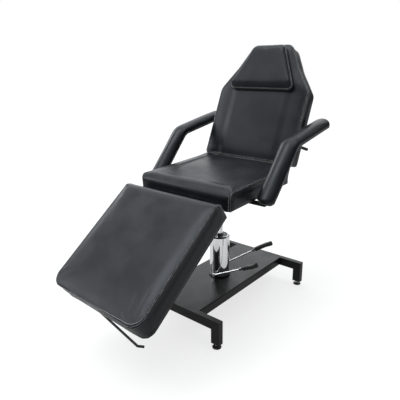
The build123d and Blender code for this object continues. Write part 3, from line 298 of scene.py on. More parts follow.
# Fine dust that settles on faces that look up
def buildDust():
    group, given, out = newGroup(
        "settledDust",
        [("Vector", None), ("Amount", 0.2)],
        ["Mask"],
    )
    facing = addNode(group, "ShaderNodeNewGeometry").outputs["Normal"]
    split = addNode(group, "ShaderNodeSeparateXYZ", [(0, facing)])
    upward = rampNode(group, split.outputs["Z"], *dustPattern["upward"])
    cloud = noiseNode(group, given.outputs["Vector"], *dustPattern["cloud"])
    specks = rampNode(group, cloud, *dustPattern["specks"])
    settled = timesNode(group, timesNode(group, upward, specks), given.outputs["Amount"])
    group.links.new(settled, out.inputs["Mask"])
    return group


leatherGrain = buildLeatherGrain()
sewnSeam = buildSewnSeam()
edgeWear = buildEdgeWear()
smudges = buildSmudges()
settledDust = buildDust()
print("shader groups built")


def newMaterial(name):
    material = bpy.data.materials.new(name)
    material.use_nodes = True
    tree = material.node_tree
    tree.nodes.clear()
    surface = addNode(tree, "ShaderNodeBsdfPrincipled")
    addNode(tree, "ShaderNodeOutputMaterial", [("Surface", surface.outputs["BSDF"])])
    where = addNode(tree, "ShaderNodeTexCoord").outputs["Object"]
    return material, tree, surface, where


def groupNode(tree, group, links):
    return addNode(tree, "ShaderNodeGroup", links, node_tree=group)


def mixColour(tree, share, first, second):
    links = [(0, share)]
    for socket, source in ((6, first), (7, second)):  # by number, as other sockets have the same names
        links.append((socket, (*source, 1.0) if isinstance(source, tuple) else source))
    return addNode(tree, "ShaderNodeMix", links, data_type="RGBA").outputs[2]


upholsteryFinish = {
    "black": (0.0052, 0.0056, 0.0068),
    "worn": (0.0095, 0.01, 0.0118),
    "seamShade": (0.0015, 0.0015, 0.0018),
    "gloss": 0.31,
    "dull": 0.42,
    "specular": 0.22,
    "specularTint": (0.88, 0.93, 1.0, 1.0),
    "cell": 620.0,
    "crease": 0.5,
    "wornPatch": (0.35, 0.7),
    "dullPatch": (0.3, 0.75),
    "grainDepth": 0.00006,
    "softDepth": 0.0005,
    "gatherDepth": 0.0003,
    "grooveDepth": -0.0011,
}


def buildUpholstery():
    finish = upholsteryFinish
    material, tree, surface, where = newMaterial("blackUpholstery")
    grain = groupNode(
        tree, leatherGrain, [("Vector", where), ("Cell", finish["cell"]), ("Crease", finish["crease"])]
    )
    across = addNode(tree, "ShaderNodeAttribute", attribute_name="seamAcross").outputs["Fac"]
    along = addNode(tree, "ShaderNodeAttribute", attribute_name="seamAlong").outputs["Fac"]
    seam = groupNode(tree, sewnSeam, [("Across", across), ("Along", along)])
    patch = rampNode(tree, grain.outputs["Patches"], *finish["wornPatch"])
    colour = mixColour(tree, patch, finish["black"], finish["worn"])
    colour = mixColour(tree, seam.outputs["Groove"], colour, finish["seamShade"])
    tree.links.new(colour, surface.inputs["Base Color"])
    rough = rampNode(tree, grain.outputs["Patches"], *finish["dullPatch"], finish["gloss"], finish["dull"])
    tree.links.new(rough, surface.inputs["Roughness"])
    surface.inputs["Specular IOR Level"].default_value = finish["specular"]
    surface.inputs["Specular Tint"].default_value = finish["specularTint"]
    grained = timesNode(tree, grain.outputs["Height"], finish["grainDepth"])
    soft = timesNode(tree, grain.outputs["Soft"], finish["softDepth"])
    gathers = timesNode(tree, seam.outputs["Gathers"], finish["gatherDepth"])
    groove = timesNode(tree, seam.outputs["Groove"], finish["grooveDepth"])
    skin, sewn = mathNode(tree, "ADD", grained, soft), mathNode(tree, "ADD", gathers, groove)
    height = mathNode(tree, "ADD", skin, sewn)
    tree.links.new(bumpNode(tree, 1.0, 1.0, height), surface.inputs["Normal"])
    return material


# painted highlight: the thread is black, but both of its colours are light greys that stand in for the glints
# along the seams
threadFinish = {
    "paintedGlintDim": (0.3, 0.3, 0.31),
    "paintedGlintBright": (0.5, 0.5, 0.51),
    "twist": 900.0,
    "distortion": 1.0,
    "gloss": 0.35,
    "dull": 0.55,
    "sheen": 0.3,
    "bump": 0.6,
    "depth": 0.0002,
}


def buildThread():
    finish = threadFinish
    material, tree, surface, where = newMaterial("blackThreadPaintedGlint")
    strand = addNode(
        tree, "ShaderNodeTexWave",
        [("Vector", where), ("Scale", finish["twist"]), ("Distortion", finish["distortion"])],
        bands_direction="DIAGONAL",
    ).outputs["Fac"]
    # painted highlight: light grey twist stripes in place of the black thread's glints
    tree.links.new(mixColour(tree, strand, finish["paintedGlintDim"], finish["paintedGlintBright"]), surface.inputs["Base Color"])
    rough = rampNode(tree, strand, 0.0, 1.0, finish["gloss"], finish["dull"])
    tree.links.new(rough, surface.inputs["Roughness"])
    surface.inputs["Sheen Weight"].default_value = finish["sheen"]
    tree.links.new(bumpNode(tree, finish["bump"], finish["depth"], strand), surface.inputs["Normal"])
    return material


paintCoat = {
    "specular": 0.25,
    "edgeRadius": 0.0012,
    "smudgeScale": 11.0,
    "dustColour": (0.22, 0.21, 0.2),
    "cloudy": (0.3, 0.7),
    "scratchDull": 0.12,
    "skin": (900.0, 2.0),
    "skinDepth": 0.0003,
}
paints = {
    "frame_black": {
        "name": "frameBlack", "colour": (0.006, 0.006, 0.0064), "worn": (0.035, 0.035, 0.035),
        "gloss": 0.34, "dull": 0.46, "peel": 0.35, "wear": 0.3, "dust": 0.02,
    },
    "plate_black": {
        "name": "plateBlack", "colour": (0.007, 0.007, 0.0073), "worn": (0.035, 0.035, 0.035),
        "gloss": 0.32, "dull": 0.42, "peel": 0.3, "wear": 0.25, "dust": 0.02,
    },
    "pump_black": {
        "name": "pumpBlack", "colour": (0.006, 0.006, 0.0066), "worn": (0.05, 0.05, 0.05),
        "gloss": 0.22, "dull": 0.32, "peel": 0.15, "wear": 0.35, "dust": 0.03,
    },
    "black_steel": {
        "name": "blackSteel", "colour": (0.006, 0.006, 0.0064), "worn": (0.04, 0.04, 0.04),
        "gloss": 0.32, "dull": 0.46, "peel": 0.3, "wear": 0.35, "dust": 0.02,
    },
}


# Painted steel: orange-peel coat, worn edges, settled dust
def buildPaint(paint):
    coat = paintCoat
    material, tree, surface, where = newMaterial(paint["name"])
    edge = groupNode(
        tree, edgeWear, [("Vector", where), ("Radius", coat["edgeRadius"]), ("Amount", paint["wear"])]
    )
    marks = groupNode(tree, smudges, [("Vector", where), ("Scale", coat["smudgeScale"])])
    fine = groupNode(tree, settledDust, [("Vector", where), ("Amount", paint["dust"])])
    surface.inputs["Specular IOR Level"].default_value = coat["specular"]
    tinted = mixColour(tree, edge.outputs["Mask"], paint["colour"], paint["worn"])
    tinted = mixColour(tree, fine.outputs["Mask"], tinted, coat["dustColour"])
    tree.links.new(tinted, surface.inputs["Base Color"])
    rough = rampNode(tree, marks.outputs["Cloud"], *coat["cloudy"], paint["gloss"], paint["dull"])
    scratched = timesNode(tree, marks.outputs["Scratch"], coat["scratchDull"])
    tree.links.new(mathNode(tree, "ADD", rough, scratched), surface.inputs["Roughness"])
    skin = noiseNode(tree, where, *coat["skin"])
    normal = bumpNode(tree, paint["peel"], coat["skinDepth"], skin, edge.outputs["Normal"])
    tree.links.new(normal, surface.inputs["Normal"])
    return material


plating = {
    "wear": 0.3,
    "smudgeScale": 18.0,
    "stained": (0.4, 0.8),
    "cloudy": (0.3, 0.7),
    "bump": 0.08,
    "depth": 0.0002,
}
metals = {
    "chrome": {
        "name": "chromePlate", "colour": (0.86, 0.87, 0.88), "stain": (0.8, 0.81, 0.83),
        "gloss": 0.03, "dull": 0.075, "scratch": 0.05, "edgeRadius": 0.0012,
    },
    "zinc_steel": {
        "name": "zincSteel", "colour": (0.6, 0.61, 0.62), "stain": (0.45, 0.45, 0.44),
        "gloss": 0.26, "dull": 0.42, "scratch": 0.1, "edgeRadius": 0.0008,
    },
}


def buildMetal(metal):
    material, tree, surface, where = newMaterial(metal["name"])
    edge = groupNode(
        tree, edgeWear, [("Vector", where), ("Radius", metal["edgeRadius"]), ("Amount", plating["wear"])]
    )
    marks = groupNode(tree, smudges, [("Vector", where), ("Scale", plating["smudgeScale"])])
    stained = rampNode(tree, marks.outputs["Cloud"], *plating["stained"])
    tree.links.new(mixColour(tree, stained, metal["colour"], metal["stain"]), surface.inputs["Base Color"])
    surface.inputs["Metallic"].default_value = 1.0
    rough = rampNode(tree, marks.outputs["Cloud"], *plating["cloudy"], metal["gloss"], metal["dull"])
    scratched = timesNode(tree, marks.outputs["Scratch"], metal["scratch"])
    tree.links.new(mathNode(tree, "ADD", rough, scratched), surface.inputs["Roughness"])
    normal = bumpNode(
        tree, plating["bump"], plating["depth"], marks.outputs["Scratch"], edge.outputs["Normal"]
    )
    tree.links.new(normal, surface.inputs["Normal"])
    return material


mouldedSkin = {
    "edgeRadius": 0.0015,
    "wear": 0.35,
    "dust": 0.25,
    "worn": (0.03, 0.03, 0.031),
    "dustColour": (0.05, 0.05, 0.048),
    "skin": (1100.0, 3.0),
    "uneven": (0.3, 0.7),
    "bump": 0.25,
    "depth": 0.0003,
}
rubbers = {
    "rubber": {"name": "gripRubber", "colour": (0.005, 0.005, 0.0053), "gloss": 0.32, "dull": 0.46},
    "seal_rubber": {"name": "sealRubber", "colour": (0.01, 0.01, 0.01), "gloss": 0.4, "dull": 0.55},
}


def buildRubber(rubber):
    mould = mouldedSkin
    material, tree, surface, where = newMaterial(rubber["name"])
    edge = groupNode(
        tree, edgeWear, [("Vector", where), ("Radius", mould["edgeRadius"]), ("Amount", mould["wear"])]
    )
    fine = groupNode(tree, settledDust, [("Vector", where), ("Amount", mould["dust"])])
    skin = noiseNode(tree, where, *mould["skin"])
    tinted = mixColour(tree, edge.outputs["Mask"], rubber["colour"], mould["worn"])
    tinted = mixColour(tree, fine.outputs["Mask"], tinted, mould["dustColour"])
    tree.links.new(tinted, surface.inputs["Base Color"])
    rough = rampNode(tree, skin, *mould["uneven"], rubber["gloss"], rubber["dull"])
    tree.links.new(rough, surface.inputs["Roughness"])
    normal = bumpNode(tree, mould["bump"], mould["depth"], skin, edge.outputs["Normal"])
    tree.links.new(normal, surface.inputs["Normal"])
    return material


boardFinish = {
    "stretch": (3.0, 40.0, 40.0),
    "fibre": (4.0, 7.0),
    "streaks": (0.35, 0.7),
    "dark": (0.012, 0.012, 0.012),
    "brown": (0.03, 0.028, 0.026),
    "rough": (0.3, 0.7, 0.55, 0.8),
    "bump": 0.4,
    "depth": 0.0004,
}


# Black-stained plywood under the cushions, with its fibres along the board
def buildBoardFinish():
    finish = boardFinish
    material, tree, surface, where = newMaterial("blackBoard")
    lengthwise = addNode(
        tree, "ShaderNodeMapping", [("Vector", where), ("Scale", finish["stretch"])]
    ).outputs["Vector"]
    fibre = noiseNode(tree, lengthwise, *finish["fibre"])
    streak = rampNode(tree, fibre, *finish["streaks"])
    tree.links.new(mixColour(tree, streak, finish["dark"], finish["brown"]), surface.inputs["Base Color"])
    tree.links.new(rampNode(tree, fibre, *finish["rough"]), surface.inputs["Roughness"])
    tree.links.new(bumpNode(tree, finish["bump"], finish["depth"], fibre), surface.inputs["Normal"])
    return material


upholstery = buildUpholstery()
thread = buildThread()
finishes = {slot: buildPaint(paint) for slot, paint in paints.items()}
finishes.update({slot: buildMetal(metal) for slot, metal in metals.items()})
finishes.update({slot: buildRubber(rubber) for slot, rubber in rubbers.items()})
finishes["plywood"] = buildBoardFinish()
finishes["upholstery"] = upholstery
slotOf = {entry["node"]: entry["material_slot"] for entry in frame["record"]["subparts"]}
for nodeName, piece in nodes.items():
    piece.data.materials.clear()
    piece.data.materials.append(finishes[slotOf[nodeName]])
print("finishes placed")


boardPlaces = {  # y, z and tilt in degrees of each board, in whose flat frame its cushion is made
    "seat": (0.156, 0.6907, 2.3),
    "back": (0.428021, 0.747963, 66.5),
    "leg": (-0.145515, 0.665079, 36.7),
}
boardFrames = {
    name: Matrix.Translation((0, y, z)) @ Matrix.Rotation(math.radians(tilt), 4, "X")
    for name, (y, z, tilt) in boardPlaces.items()
}
sampleSteps = {"fine": 0.0008, "middle": 0.002, "coarse": 0.004}
cushionHalfWidth = 0.3


def halfTurnSweep(angle):
    return (angle + math.pi) % (2 * math.pi) - math.pi


def arcThrough(first, middle, last, steps):
    (ax, ay), (bx, by), (cx, cy) = first, middle, last
    a, b, c = ax**2 + ay**2, bx**2 + by**2, cx**2 + cy**2
    scale = 2 * (ax * (by - cy) + bx * (cy - ay) + cx * (ay - by))
    ux = (a * (by - cy) + b * (cy - ay) + c * (ay - by)) / scale
    uy = (a * (cx - bx) + b * (ax - cx) + c * (bx - ax)) / scale
    start = math.atan2(ay - uy, ax - ux)
    sweep = halfTurnSweep(math.atan2(cy - uy, cx - ux) - start)
    radius = math.hypot(ax - ux, ay - uy)
    return [
        (ux + radius * math.cos(start + sweep * i / steps), uy + radius * math.sin(start + sweep * i / steps))
        for i in range(steps + 1)
    ]


def roundedCorners(points, radii, steps=14):
    line = []
    for i, (point, radius) in enumerate(zip(points, radii)):
        if i in (0, len(points) - 1) or radius == 0:
            line.append(tuple(point))
            continue
        here, before, after = Vector(point), Vector(points[i - 1]), Vector(points[i + 1])
        back, ahead = (before - here).normalized(), (after - here).normalized()
        half = back.angle(ahead) / 2
        reach = radius / math.tan(half)
        centre = here + (back + ahead).normalized() * (radius / math.sin(half))
        start, end = here + back * reach - centre, here + ahead * reach - centre
        first = math.atan2(start.y, start.x)
        sweep = halfTurnSweep(math.atan2(end.y, end.x) - first)
        for j in range(steps + 1):
            turn = first + sweep * j / steps
            line.append((centre.x + radius * math.cos(turn), centre.y + radius * math.sin(turn)))
    return line


def evenSteps(points, step):
    points = np.asarray(points, float)
    runs = np.linalg.norm(np.diff(points, axis=0), axis=1)
    keep = np.concatenate([[True], runs > 1e-7])  # drops points that repeat
    points = points[keep]
    travel = np.concatenate([[0], np.cumsum(np.linalg.norm(np.diff(points, axis=0), axis=1))])
    count = max(2, int(round(travel[-1] / step)) + 1)
    marks = np.linspace(0, travel[-1], count)
    return np.stack([np.interp(marks, travel, points[:, k]) for k in range(points.shape[1])], axis=1), marks


rolledEdge = {"overlap": 0.002, "steps": 40, "beyond": 0.3}


# The seam of a boxed cushion: up over the rolled end on one side, round the plan, and down the other side
def boxedSeam(pad):
    end, bottom, seam = pad["rolledEnd"], pad["bottom"], pad["seamHeight"]
    side = -1 if end < pad["otherEnd"] else 1
    reach, drop, bendIn, bendDrop = pad["roll"]
    over = rolledEdge["overlap"]
    arc = arcThrough(
        (end + side * over, seam - drop), (end - side * bendIn, seam - bendDrop),
        (end - side * reach, seam + pad["crown"] + over), rolledEdge["steps"],
    )
    profile = [(end, bottom)] + [(y, z) for y, z in arc if z < seam and (y - end) * side <= 0]
    planLine = [(x, y, seam) for x, y in roundedCorners(pad["plan"], pad["corners"])]
    right = [(cushionHalfWidth, y, z) for y, z in profile]
    left = [(-cushionHalfWidth, y, z) for y, z in reversed(profile)]
    return right + planLine + left, profile + [(pad["otherEnd"] - side * rolledEdge["beyond"], seam)]


def nearestOn(points, samples):
    tree = KDTree(len(samples))
    for i, sample in enumerate(samples):
        tree.insert(tuple(sample) + (0.0,) * (3 - len(sample)), i)
    tree.balance()
    found = [tree.find(tuple(point) + (0.0,) * (3 - len(point)))[1:] for point in points]
    return np.array([gap for _, gap in found]), np.array([index for index, _ in found])


# Signed distance from the seam (panel side positive) and travel along it
def boxedFields(pad, points):
    path, profile = boxedSeam(pad)
    samples, marks = evenSteps(path, sampleSteps["fine"])
    profileSamples, _ = evenSteps(profile, sampleSteps["fine"])
    planGap, _ = nearestOn(points[:, :2], samples[:, :2])
    panelGap, _ = nearestOn(points[:, 1:], profileSamples)
    panelGap = np.where(points[:, 2] > pad["seamHeight"], 0.0, panelGap)
    _, closest = nearestOn(points, samples)
    return planGap - panelGap, marks[closest]


# Armrest: lower leg at a steep slope, a bend and a nearly level rear leg
armLine = {
    "pivot": (0.090282, 0.682356),
    "lowerSlope": 48.0,  # degrees
    "rearSlope": 9.5,
    "offset": 0.0379,
    "start": -0.034,
    "lowerLength": 0.331,
    "rearLength": 0.364,
    "bendRadius": 0.060,
    "bendSteps": 20,
    "middle": 0.3725,
    "halfWidth": 0.0475,
    "endRadius": 0.034,
    "seamLift": 0.014,
}


def armPoint(base, slope, distance, lift):
    turn = math.radians(slope)
    return (
        base[0] + math.cos(turn) * distance - math.sin(turn) * lift,
        base[1] + math.sin(turn) * distance + math.cos(turn) * lift,
    )


def armCurve(lift):
    arm = armLine
    low = armPoint(arm["pivot"], arm["lowerSlope"], arm["start"], arm["offset"] + lift)
    bend = armPoint(arm["pivot"], arm["lowerSlope"], arm["start"] + arm["lowerLength"], arm["offset"])
    half = math.radians(arm["lowerSlope"] - arm["rearSlope"]) / 2
    corner = armPoint(bend, arm["lowerSlope"], lift * math.tan(half), lift)
    rear = armPoint(bend, arm["rearSlope"], arm["rearLength"], lift)
    return roundedCorners([low, corner, rear], [0, arm["bendRadius"] + lift, 0], arm["bendSteps"])


def armSeam(side, lift=0.0):
    line, marks = evenSteps(armCurve(armLine["seamLift"] + lift), sampleSteps["coarse"])
    radius, length = armLine["endRadius"], marks[-1]
    path = []
    for mark in marks:  # the plan narrows round both ends
        ahead = max(0.0, radius - mark, mark - (length - radius))
        inset = radius - math.sqrt(max(0.0, radius**2 - ahead**2))
        y, z = np.interp(mark, marks, line[:, 0]), np.interp(mark, marks, line[:, 1])
        path.append((armLine["halfWidth"] - inset, y, z))
    right = [(armLine["middle"] + x, y, z) for x, y, z in path]
    left = [(armLine["middle"] - x, y, z) for x, y, z in reversed(path)]
    return [(side * x, y, z) for x, y, z in right + left + right[:1]]


def armFields(pad, points):
    samples, marks = evenSteps(armSeam(pad["side"]), sampleSteps["fine"])
    _, closest = nearestOn(points, samples)
    base, _ = evenSteps(armCurve(0.0), sampleSteps["middle"])
    _, index = nearestOn(points[:, 1:], base)
    ahead = np.clip(index + 1, 0, len(base) - 1)
    behind = np.clip(index - 1, 0, len(base) - 1)
    run = base[ahead] - base[behind]
    run /= np.linalg.norm(run, axis=1)[:, None]
    away = points[:, 1:] - base[index]
    lift = run[:, 0] * away[:, 1] - run[:, 1] * away[:, 0]
    return lift - armLine["seamLift"], marks[closest]


# The seam of the backrest and of the head pillow runs round the whole plan
def pillowSeam(pad):
    return [(x, y, pad["seamHeight"]) for x, y in roundedCorners(pad["plan"], pad["corners"])]


def pillowFields(pad, points):
    samples, marks = evenSteps(pillowSeam(pad), sampleSteps["fine"])
    planGap, _ = nearestOn(points[:, :2], samples[:, :2])
    panelGap = np.clip(pad["seamHeight"] - points[:, 2], 0, None)
    _, closest = nearestOn(points, samples)
    return planGap * pad["slant"] - panelGap, marks[closest]


def easeStep(values, low, high):
    share = np.clip((values - low) / (high - low), 0, 1)
    return share * share * (3 - 2 * share)


# A soft fold in the cover: a shallow line between two plan points, which fades at its ends
def foldLine(points, start, end, depth, width):
    start, end = np.array(start), np.array(end)
    run = end - start
    along = np.clip(((points[:, :2] - start) @ run) / (run @ run), 0, 1)
    gap = np.linalg.norm(points[:, :2] - start - along[:, None] * run, axis=1)
    return -depth * np.exp(-((gap / width) ** 2)) * np.sin(np.pi * np.clip(along, 0.02, 0.98)) ** 0.5


def foldLines(points, lines):
    return sum(foldLine(points, *line) for line in lines)


# Draws the top panel tight, so that it lies flatter up to its seam
def tightPanel(points, seam, share):
    high = np.maximum(points[:, 2] - seam, 0)
    points[:, 2] -= high * (1 - share)


seatForm = {
    "top": (0.078, 0.092),  # heights between which the top panel begins
    "sides": (0.050, 0.095),  # distances in from the sides
    "front": (-0.27, -0.225),
    "sunk": 0.0042,
    "rear": (0.17, 0.25),
    "lean": 0.018,
    "leanHeights": (0.02, 0.085),
    "rearLift": 0.0035,
    "bolsters": [  # start, end, height and width
        ((-0.218, -0.255), (-0.236, 0.16), 0.0032, 0.016),
        ((0.236, -0.225), (0.240, 0.12), 0.0020, 0.016),
    ],
}


# The seat is pressed in between its side bolsters, and its rear leans out under the backrest
def shapeSeat(points):
    form = seatForm
    top = easeStep(points[:, 2], *form["top"])
    side = easeStep(cushionHalfWidth - np.abs(points[:, 0]), *form["sides"])
    front = easeStep(points[:, 1], *form["front"])
    points[:, 2] -= form["sunk"] * top * side * front
    rear = easeStep(points[:, 1], *form["rear"])
    points[:, 1] += form["lean"] * rear * easeStep(points[:, 2], *form["leanHeights"])
    points[:, 2] += form["rearLift"] * rear * top
    points[:, 2] -= foldLines(points, form["bolsters"]) * top
    return points


backForm = {
    "seam": 0.052,
    "tight": 0.75,
    "top": (0.044, 0.058),
    "sides": (0.162, 0.208),
    "shoulders": (0.42, 0.50),
    "fall": 0.0050,
    "lowEnd": (0.043, 0.12),
    "lowFill": 0.004,
}


# The backrest falls away from its middle towards both sides
def shapeBack(points):
    form = backForm
    tightPanel(points, form["seam"], form["tight"])
    top = easeStep(points[:, 2], *form["top"])
    side = easeStep(np.abs(points[:, 0]), *form["sides"])
    high = 1 - easeStep(points[:, 1], *form["shoulders"])
    points[:, 2] -= form["fall"] * top * side * high
    points[:, 1] -= form["lowFill"] * (1 - easeStep(points[:, 1], *form["lowEnd"]))
    return points


legForm = {
    "foot": (-0.66, -0.42),
    "askew": 0.010,
    "seam": 0.1294,
    "tight": 0.6,
    "top": (0.120, 0.130),
    "folds": [  # start, end, depth and width
        ((0.232, -0.655), (0.205, -0.53), 0.0012, 0.010),
        ((0.262, -0.63), (0.252, -0.50), 0.0007, 0.008),
        ((-0.262, -0.63), (-0.20, -0.56), 0.0011, 0.012),
        ((-0.20, -0.12), (-0.12, -0.10), 0.0006, 0.010),
    ],
}


# The leg rest's foot end sits a little askew, with soft folds by its corners
def shapeLeg(points):
    form = legForm
    foot = 1 - easeStep(points[:, 1], *form["foot"])
    points[:, 1] -= form["askew"] * points[:, 0] / cushionHalfWidth * foot
    tightPanel(points, form["seam"], form["tight"])
    top = easeStep(points[:, 2], *form["top"])
    points[:, 2] += foldLines(points, form["folds"]) * top
    return points


pillowForm = {"face": (0.445, 0.505), "heights": (0.066, 0.095), "drop": 0.015, "bend": 1.5}


# The head pillow is a wedge: its face turns back along a soft line above the lower edge
def shapePillow(points):
    form = pillowForm
    low = 1 - easeStep(points[:, 1], *form["face"])
    points[:, 2] -= form["drop"] * low ** form["bend"] * easeStep(points[:, 2], *form["heights"])
    return points


def boxedPath(pad):
    return boxedSeam(pad)[0]


largePad = {"voxel": 0.0055, "cap": 0.0022, "fill": 0.85, "shrink": 0.0025}
armPad = {
    "frame": Matrix.Identity(4), "voxel": 0.0045, "cap": 0.002, "fill": 0.9, "shrink": 0.0015,
    "plump": (0.0005, 0.0005, 0.0005), "seam": lambda pad: armSeam(pad["side"]), "fields": armFields,
}
pads = {
    "seatPad": {
        **largePad, "node": "seat_cushion", "board": "seat_board", "body": "seat",
        "frame": boardFrames["seat"], "pinBelow": 0.016, "plump": (0.0, 0.001, 0.0015),
        "rolledEnd": -0.315, "otherEnd": 0.250, "bottom": 0.0, "seamHeight": 0.096, "crown": 0.011,
        "roll": (0.096, 0.034, 0.013, 0.010),  # reach, drop, and how far the bend lies in and down
        "plan": [(0.3, -0.219), (0.3, 0.25), (-0.3, 0.25), (-0.3, -0.219)],
        "corners": [0, 0.026, 0.026, 0],
        "seam": boxedPath, "fields": boxedFields, "shape": shapeSeat,
    },
    "legPad": {
        **largePad, "node": "leg_cushion", "board": "leg_board", "body": "leg_rest",
        "frame": boardFrames["leg"], "pinBelow": 0.0304, "plump": (0.001, 0.002, 0.0015),
        "rolledEnd": -0.012, "otherEnd": -0.662, "bottom": 0.0144, "seamHeight": 0.1294, "crown": 0.011,
        "roll": (0.064, 0.066, 0.014, 0.016),
        "plan": [(0.3, -0.076), (0.3, -0.662), (-0.3, -0.662), (-0.3, -0.076)],
        "corners": [0, 0.060, 0.060, 0],
        "seam": boxedPath, "fields": boxedFields, "shape": shapeLeg,
    },
    "backPad": {
        **largePad, "node": "back_cushion", "board": "back_board", "body": "backrest",
        "frame": boardFrames["back"], "pinBelow": -0.0200, "plump": (0.001, 0.001, 0.001),
        "seamHeight": 0.052, "slant": 1.0,
        "plan": [
            (0.0, 0.0434), (0.3, 0.0434), (0.3, 0.4544), (0.206, 0.5864), (0.128, 0.7294),
            (-0.128, 0.7294), (-0.206, 0.5864), (-0.3, 0.4544), (-0.3, 0.0434), (0.0, 0.0434),
        ],
        "corners": [0, 0.02, 0.07, 0.22, 0.052, 0.052, 0.22, 0.07, 0.02, 0],
        "seam": pillowSeam, "fields": pillowFields, "shape": shapeBack,
    },
    "headPad": {
        "node": "head_pillow", "body": "backrest", "frame": boardFrames["back"],
        "voxel": 0.0045, "cap": 0.002, "fill": 0.75, "shrink": 0.002,
        "pinBelow": 0.0655, "plump": (0.001, 0.001, 0.001), "seamHeight": 0.086, "slant": 0.8,
        "plan": [
            (0.0, 0.4474), (0.224, 0.4474), (0.100, 0.7134), (-0.100, 0.7134), (-0.224, 0.4474),
            (0.0, 0.4474),
        ],
        "corners": [0, 0.026, 0.040, 0.040, 0.026, 0],
        "seam": pillowSeam, "fields": pillowFields, "shape": shapePillow,
    },
    "armPadRight": {**armPad, "node": "arm_pad_right", "body": "arm_right", "side": 1},
    "armPadLeft": {**armPad, "node": "arm_pad_left", "body": "arm_left", "side": -1},
}
padMaking = {
    "mergeGap": 0.00002,
    "underBand": 0.002,  # the underside's points lie within this of the lowest one
    "underInset": 0.012,
    "underLift": 0.004,
    "panelEdge": (0.008, 0.030),
    "heldBelowSeam": 0.012,
    "smoothShare": 0.5,
    "panelRounds": 30,
    "skinRounds": 2,
    "fillFrames": 20,
}


def startPad(name, pad):
    making = padMaking
    piece = bpy.data.objects.new(name, nodes[pad["node"]].data.copy())
    scene.collection.objects.link(piece)
    if "board" in pad:
        inner = bpy.data.objects.new(name + "Board", nodes[pad["board"]].data.copy())
        scene.collection.objects.link(inner)
        makeActive(piece)
        inner.select_set(True)
        bpy.ops.object.join()
    mesh = piece.data
    mesh.transform(pad["frame"].inverted())
    mesh.name = name
    makeActive(piece)
    bpy.ops.object.mode_set(mode="EDIT")
    bpy.ops.mesh.select_all(action="SELECT")
    bpy.ops.mesh.remove_doubles(threshold=making["mergeGap"])
    bpy.ops.object.mode_set(mode="OBJECT")
    points = readPoints(mesh)
    pad["low"], pad["high"] = points.min(axis=0), points.max(axis=0)
    applyModifier(piece, "REMESH", "evenSkin", mode="VOXEL", voxel_size=pad["voxel"], use_smooth_shade=True)
    if "board" in pad:
        points = readPoints(piece.data)
        inPlan, _ = pad["fields"](pad, points * (1, 1, 0) + (0, 0, 1))  # all at one height over the seam
        lowest = points[:, 2] < pad["low"][2] + making["underBand"]
        points[lowest & (inPlan > making["underInset"]), 2] += making["underLift"]
        writePoints(piece.data, points)
    across, _ = pad["fields"](pad, readPoints(piece.data))
    panel = piece.vertex_groups.new(name="panel")
    for i, share in enumerate(easeStep(across, *making["panelEdge"])):
        if share > 0:
            panel.add([i], float(share), "REPLACE")
    if "pinBelow" in pad:
        held = readPoints(piece.data)[:, 2] < pad["pinBelow"]
    else:
        held = across < -making["heldBelowSeam"]
    piece.vertex_groups.new(name="held").add([int(i) for i in np.where(held)[0]], 1.0, "REPLACE")
    applyModifier(
        piece, "SMOOTH", "evenPanel",
        factor=making["smoothShare"], iterations=making["panelRounds"], vertex_group="panel",
    )
    applyModifier(piece, "DISPLACE", "drawIn", strength=-pad["shrink"], mid_level=0.0)
    return piece


filling = {
    "quality": 4,
    "mass": 0.4,
    "tension_stiffness": 18,
    "compression_stiffness": 12,
    "shear_stiffness": 10,
    "bending_stiffness": 0.8,
    "use_pressure": True,
    "uniform_pressure_force": 4.0,
    "vertex_group_mass": "held",
}


def addFilling(piece):
    cloth = piece.modifiers.new("filling", "CLOTH")
    for key, value in filling.items():
        setattr(cloth.settings, key, value)
    cloth.settings.effector_weights.gravity = 0.0
    cloth.collision_settings.use_collision = False
    cloth.point_cache.frame_start = 1
    cloth.point_cache.frame_end = padMaking["fillFrames"]


# Puts the filled shape on the mesh, with no point moved further than its cap
def settlePad(piece, pad, before, after):
    move = after - before
    size = np.linalg.norm(move, axis=1)
    scale = np.where(size > pad["cap"], pad["cap"] / np.maximum(size, 1e-9), 1.0)
    writePoints(piece.data, before + move * scale[:, None])


# Brings a cushion back to its full size after it was drawn in
def fillOut(points, pad):
    low, high = points.min(axis=0), points.max(axis=0)
    plump = np.array(pad["plump"])
    goalLow, goalHigh = pad["low"] - plump, pad["high"] + plump
    return goalLow + (points - low) / (high - low) * (goalHigh - goalLow)


seamForm = {
    "groove": (0.0018, 0.0032),  # depth and width
    "rolls": (0.0009, 0.0085, 0.005),  # height, distance from the seam, and width
    "gather": (0.00035, 0.0145, 0.012),  # height, length along the seam, and reach
    "wobble": [(1.3, 0.113, 0.0), (0.9, 0.041, 1.0)],  # share, length and start
    "strength": [(0.35, 0.31, 0.7), (0.2, 0.087, 0.0)],
    "leastStrength": 0.45,
}


# Seam groove, the soft rolls on both sides of it, and gathers that come and go along it
def seamRelief(across, along):
    turn = 2 * np.pi * along
    wobble, strength = [
        sum(share * np.sin(turn / length + start) for share, length, start in seamForm[key])
        for key in ("wobble", "strength")
    ]
    strength = strength + seamForm["leastStrength"]
    depth, width = seamForm["groove"]
    groove = -depth * np.exp(-((across / width) ** 2))
    height, distance, width = seamForm["rolls"]
    rolls = height * np.exp(-(((np.abs(across) - distance) / width) ** 2))
    height, length, reach = seamForm["gather"]
    gathers = height * np.sin(turn / length + wobble) * strength * np.exp(-np.abs(across) / reach)
    return groove + rolls + gathers


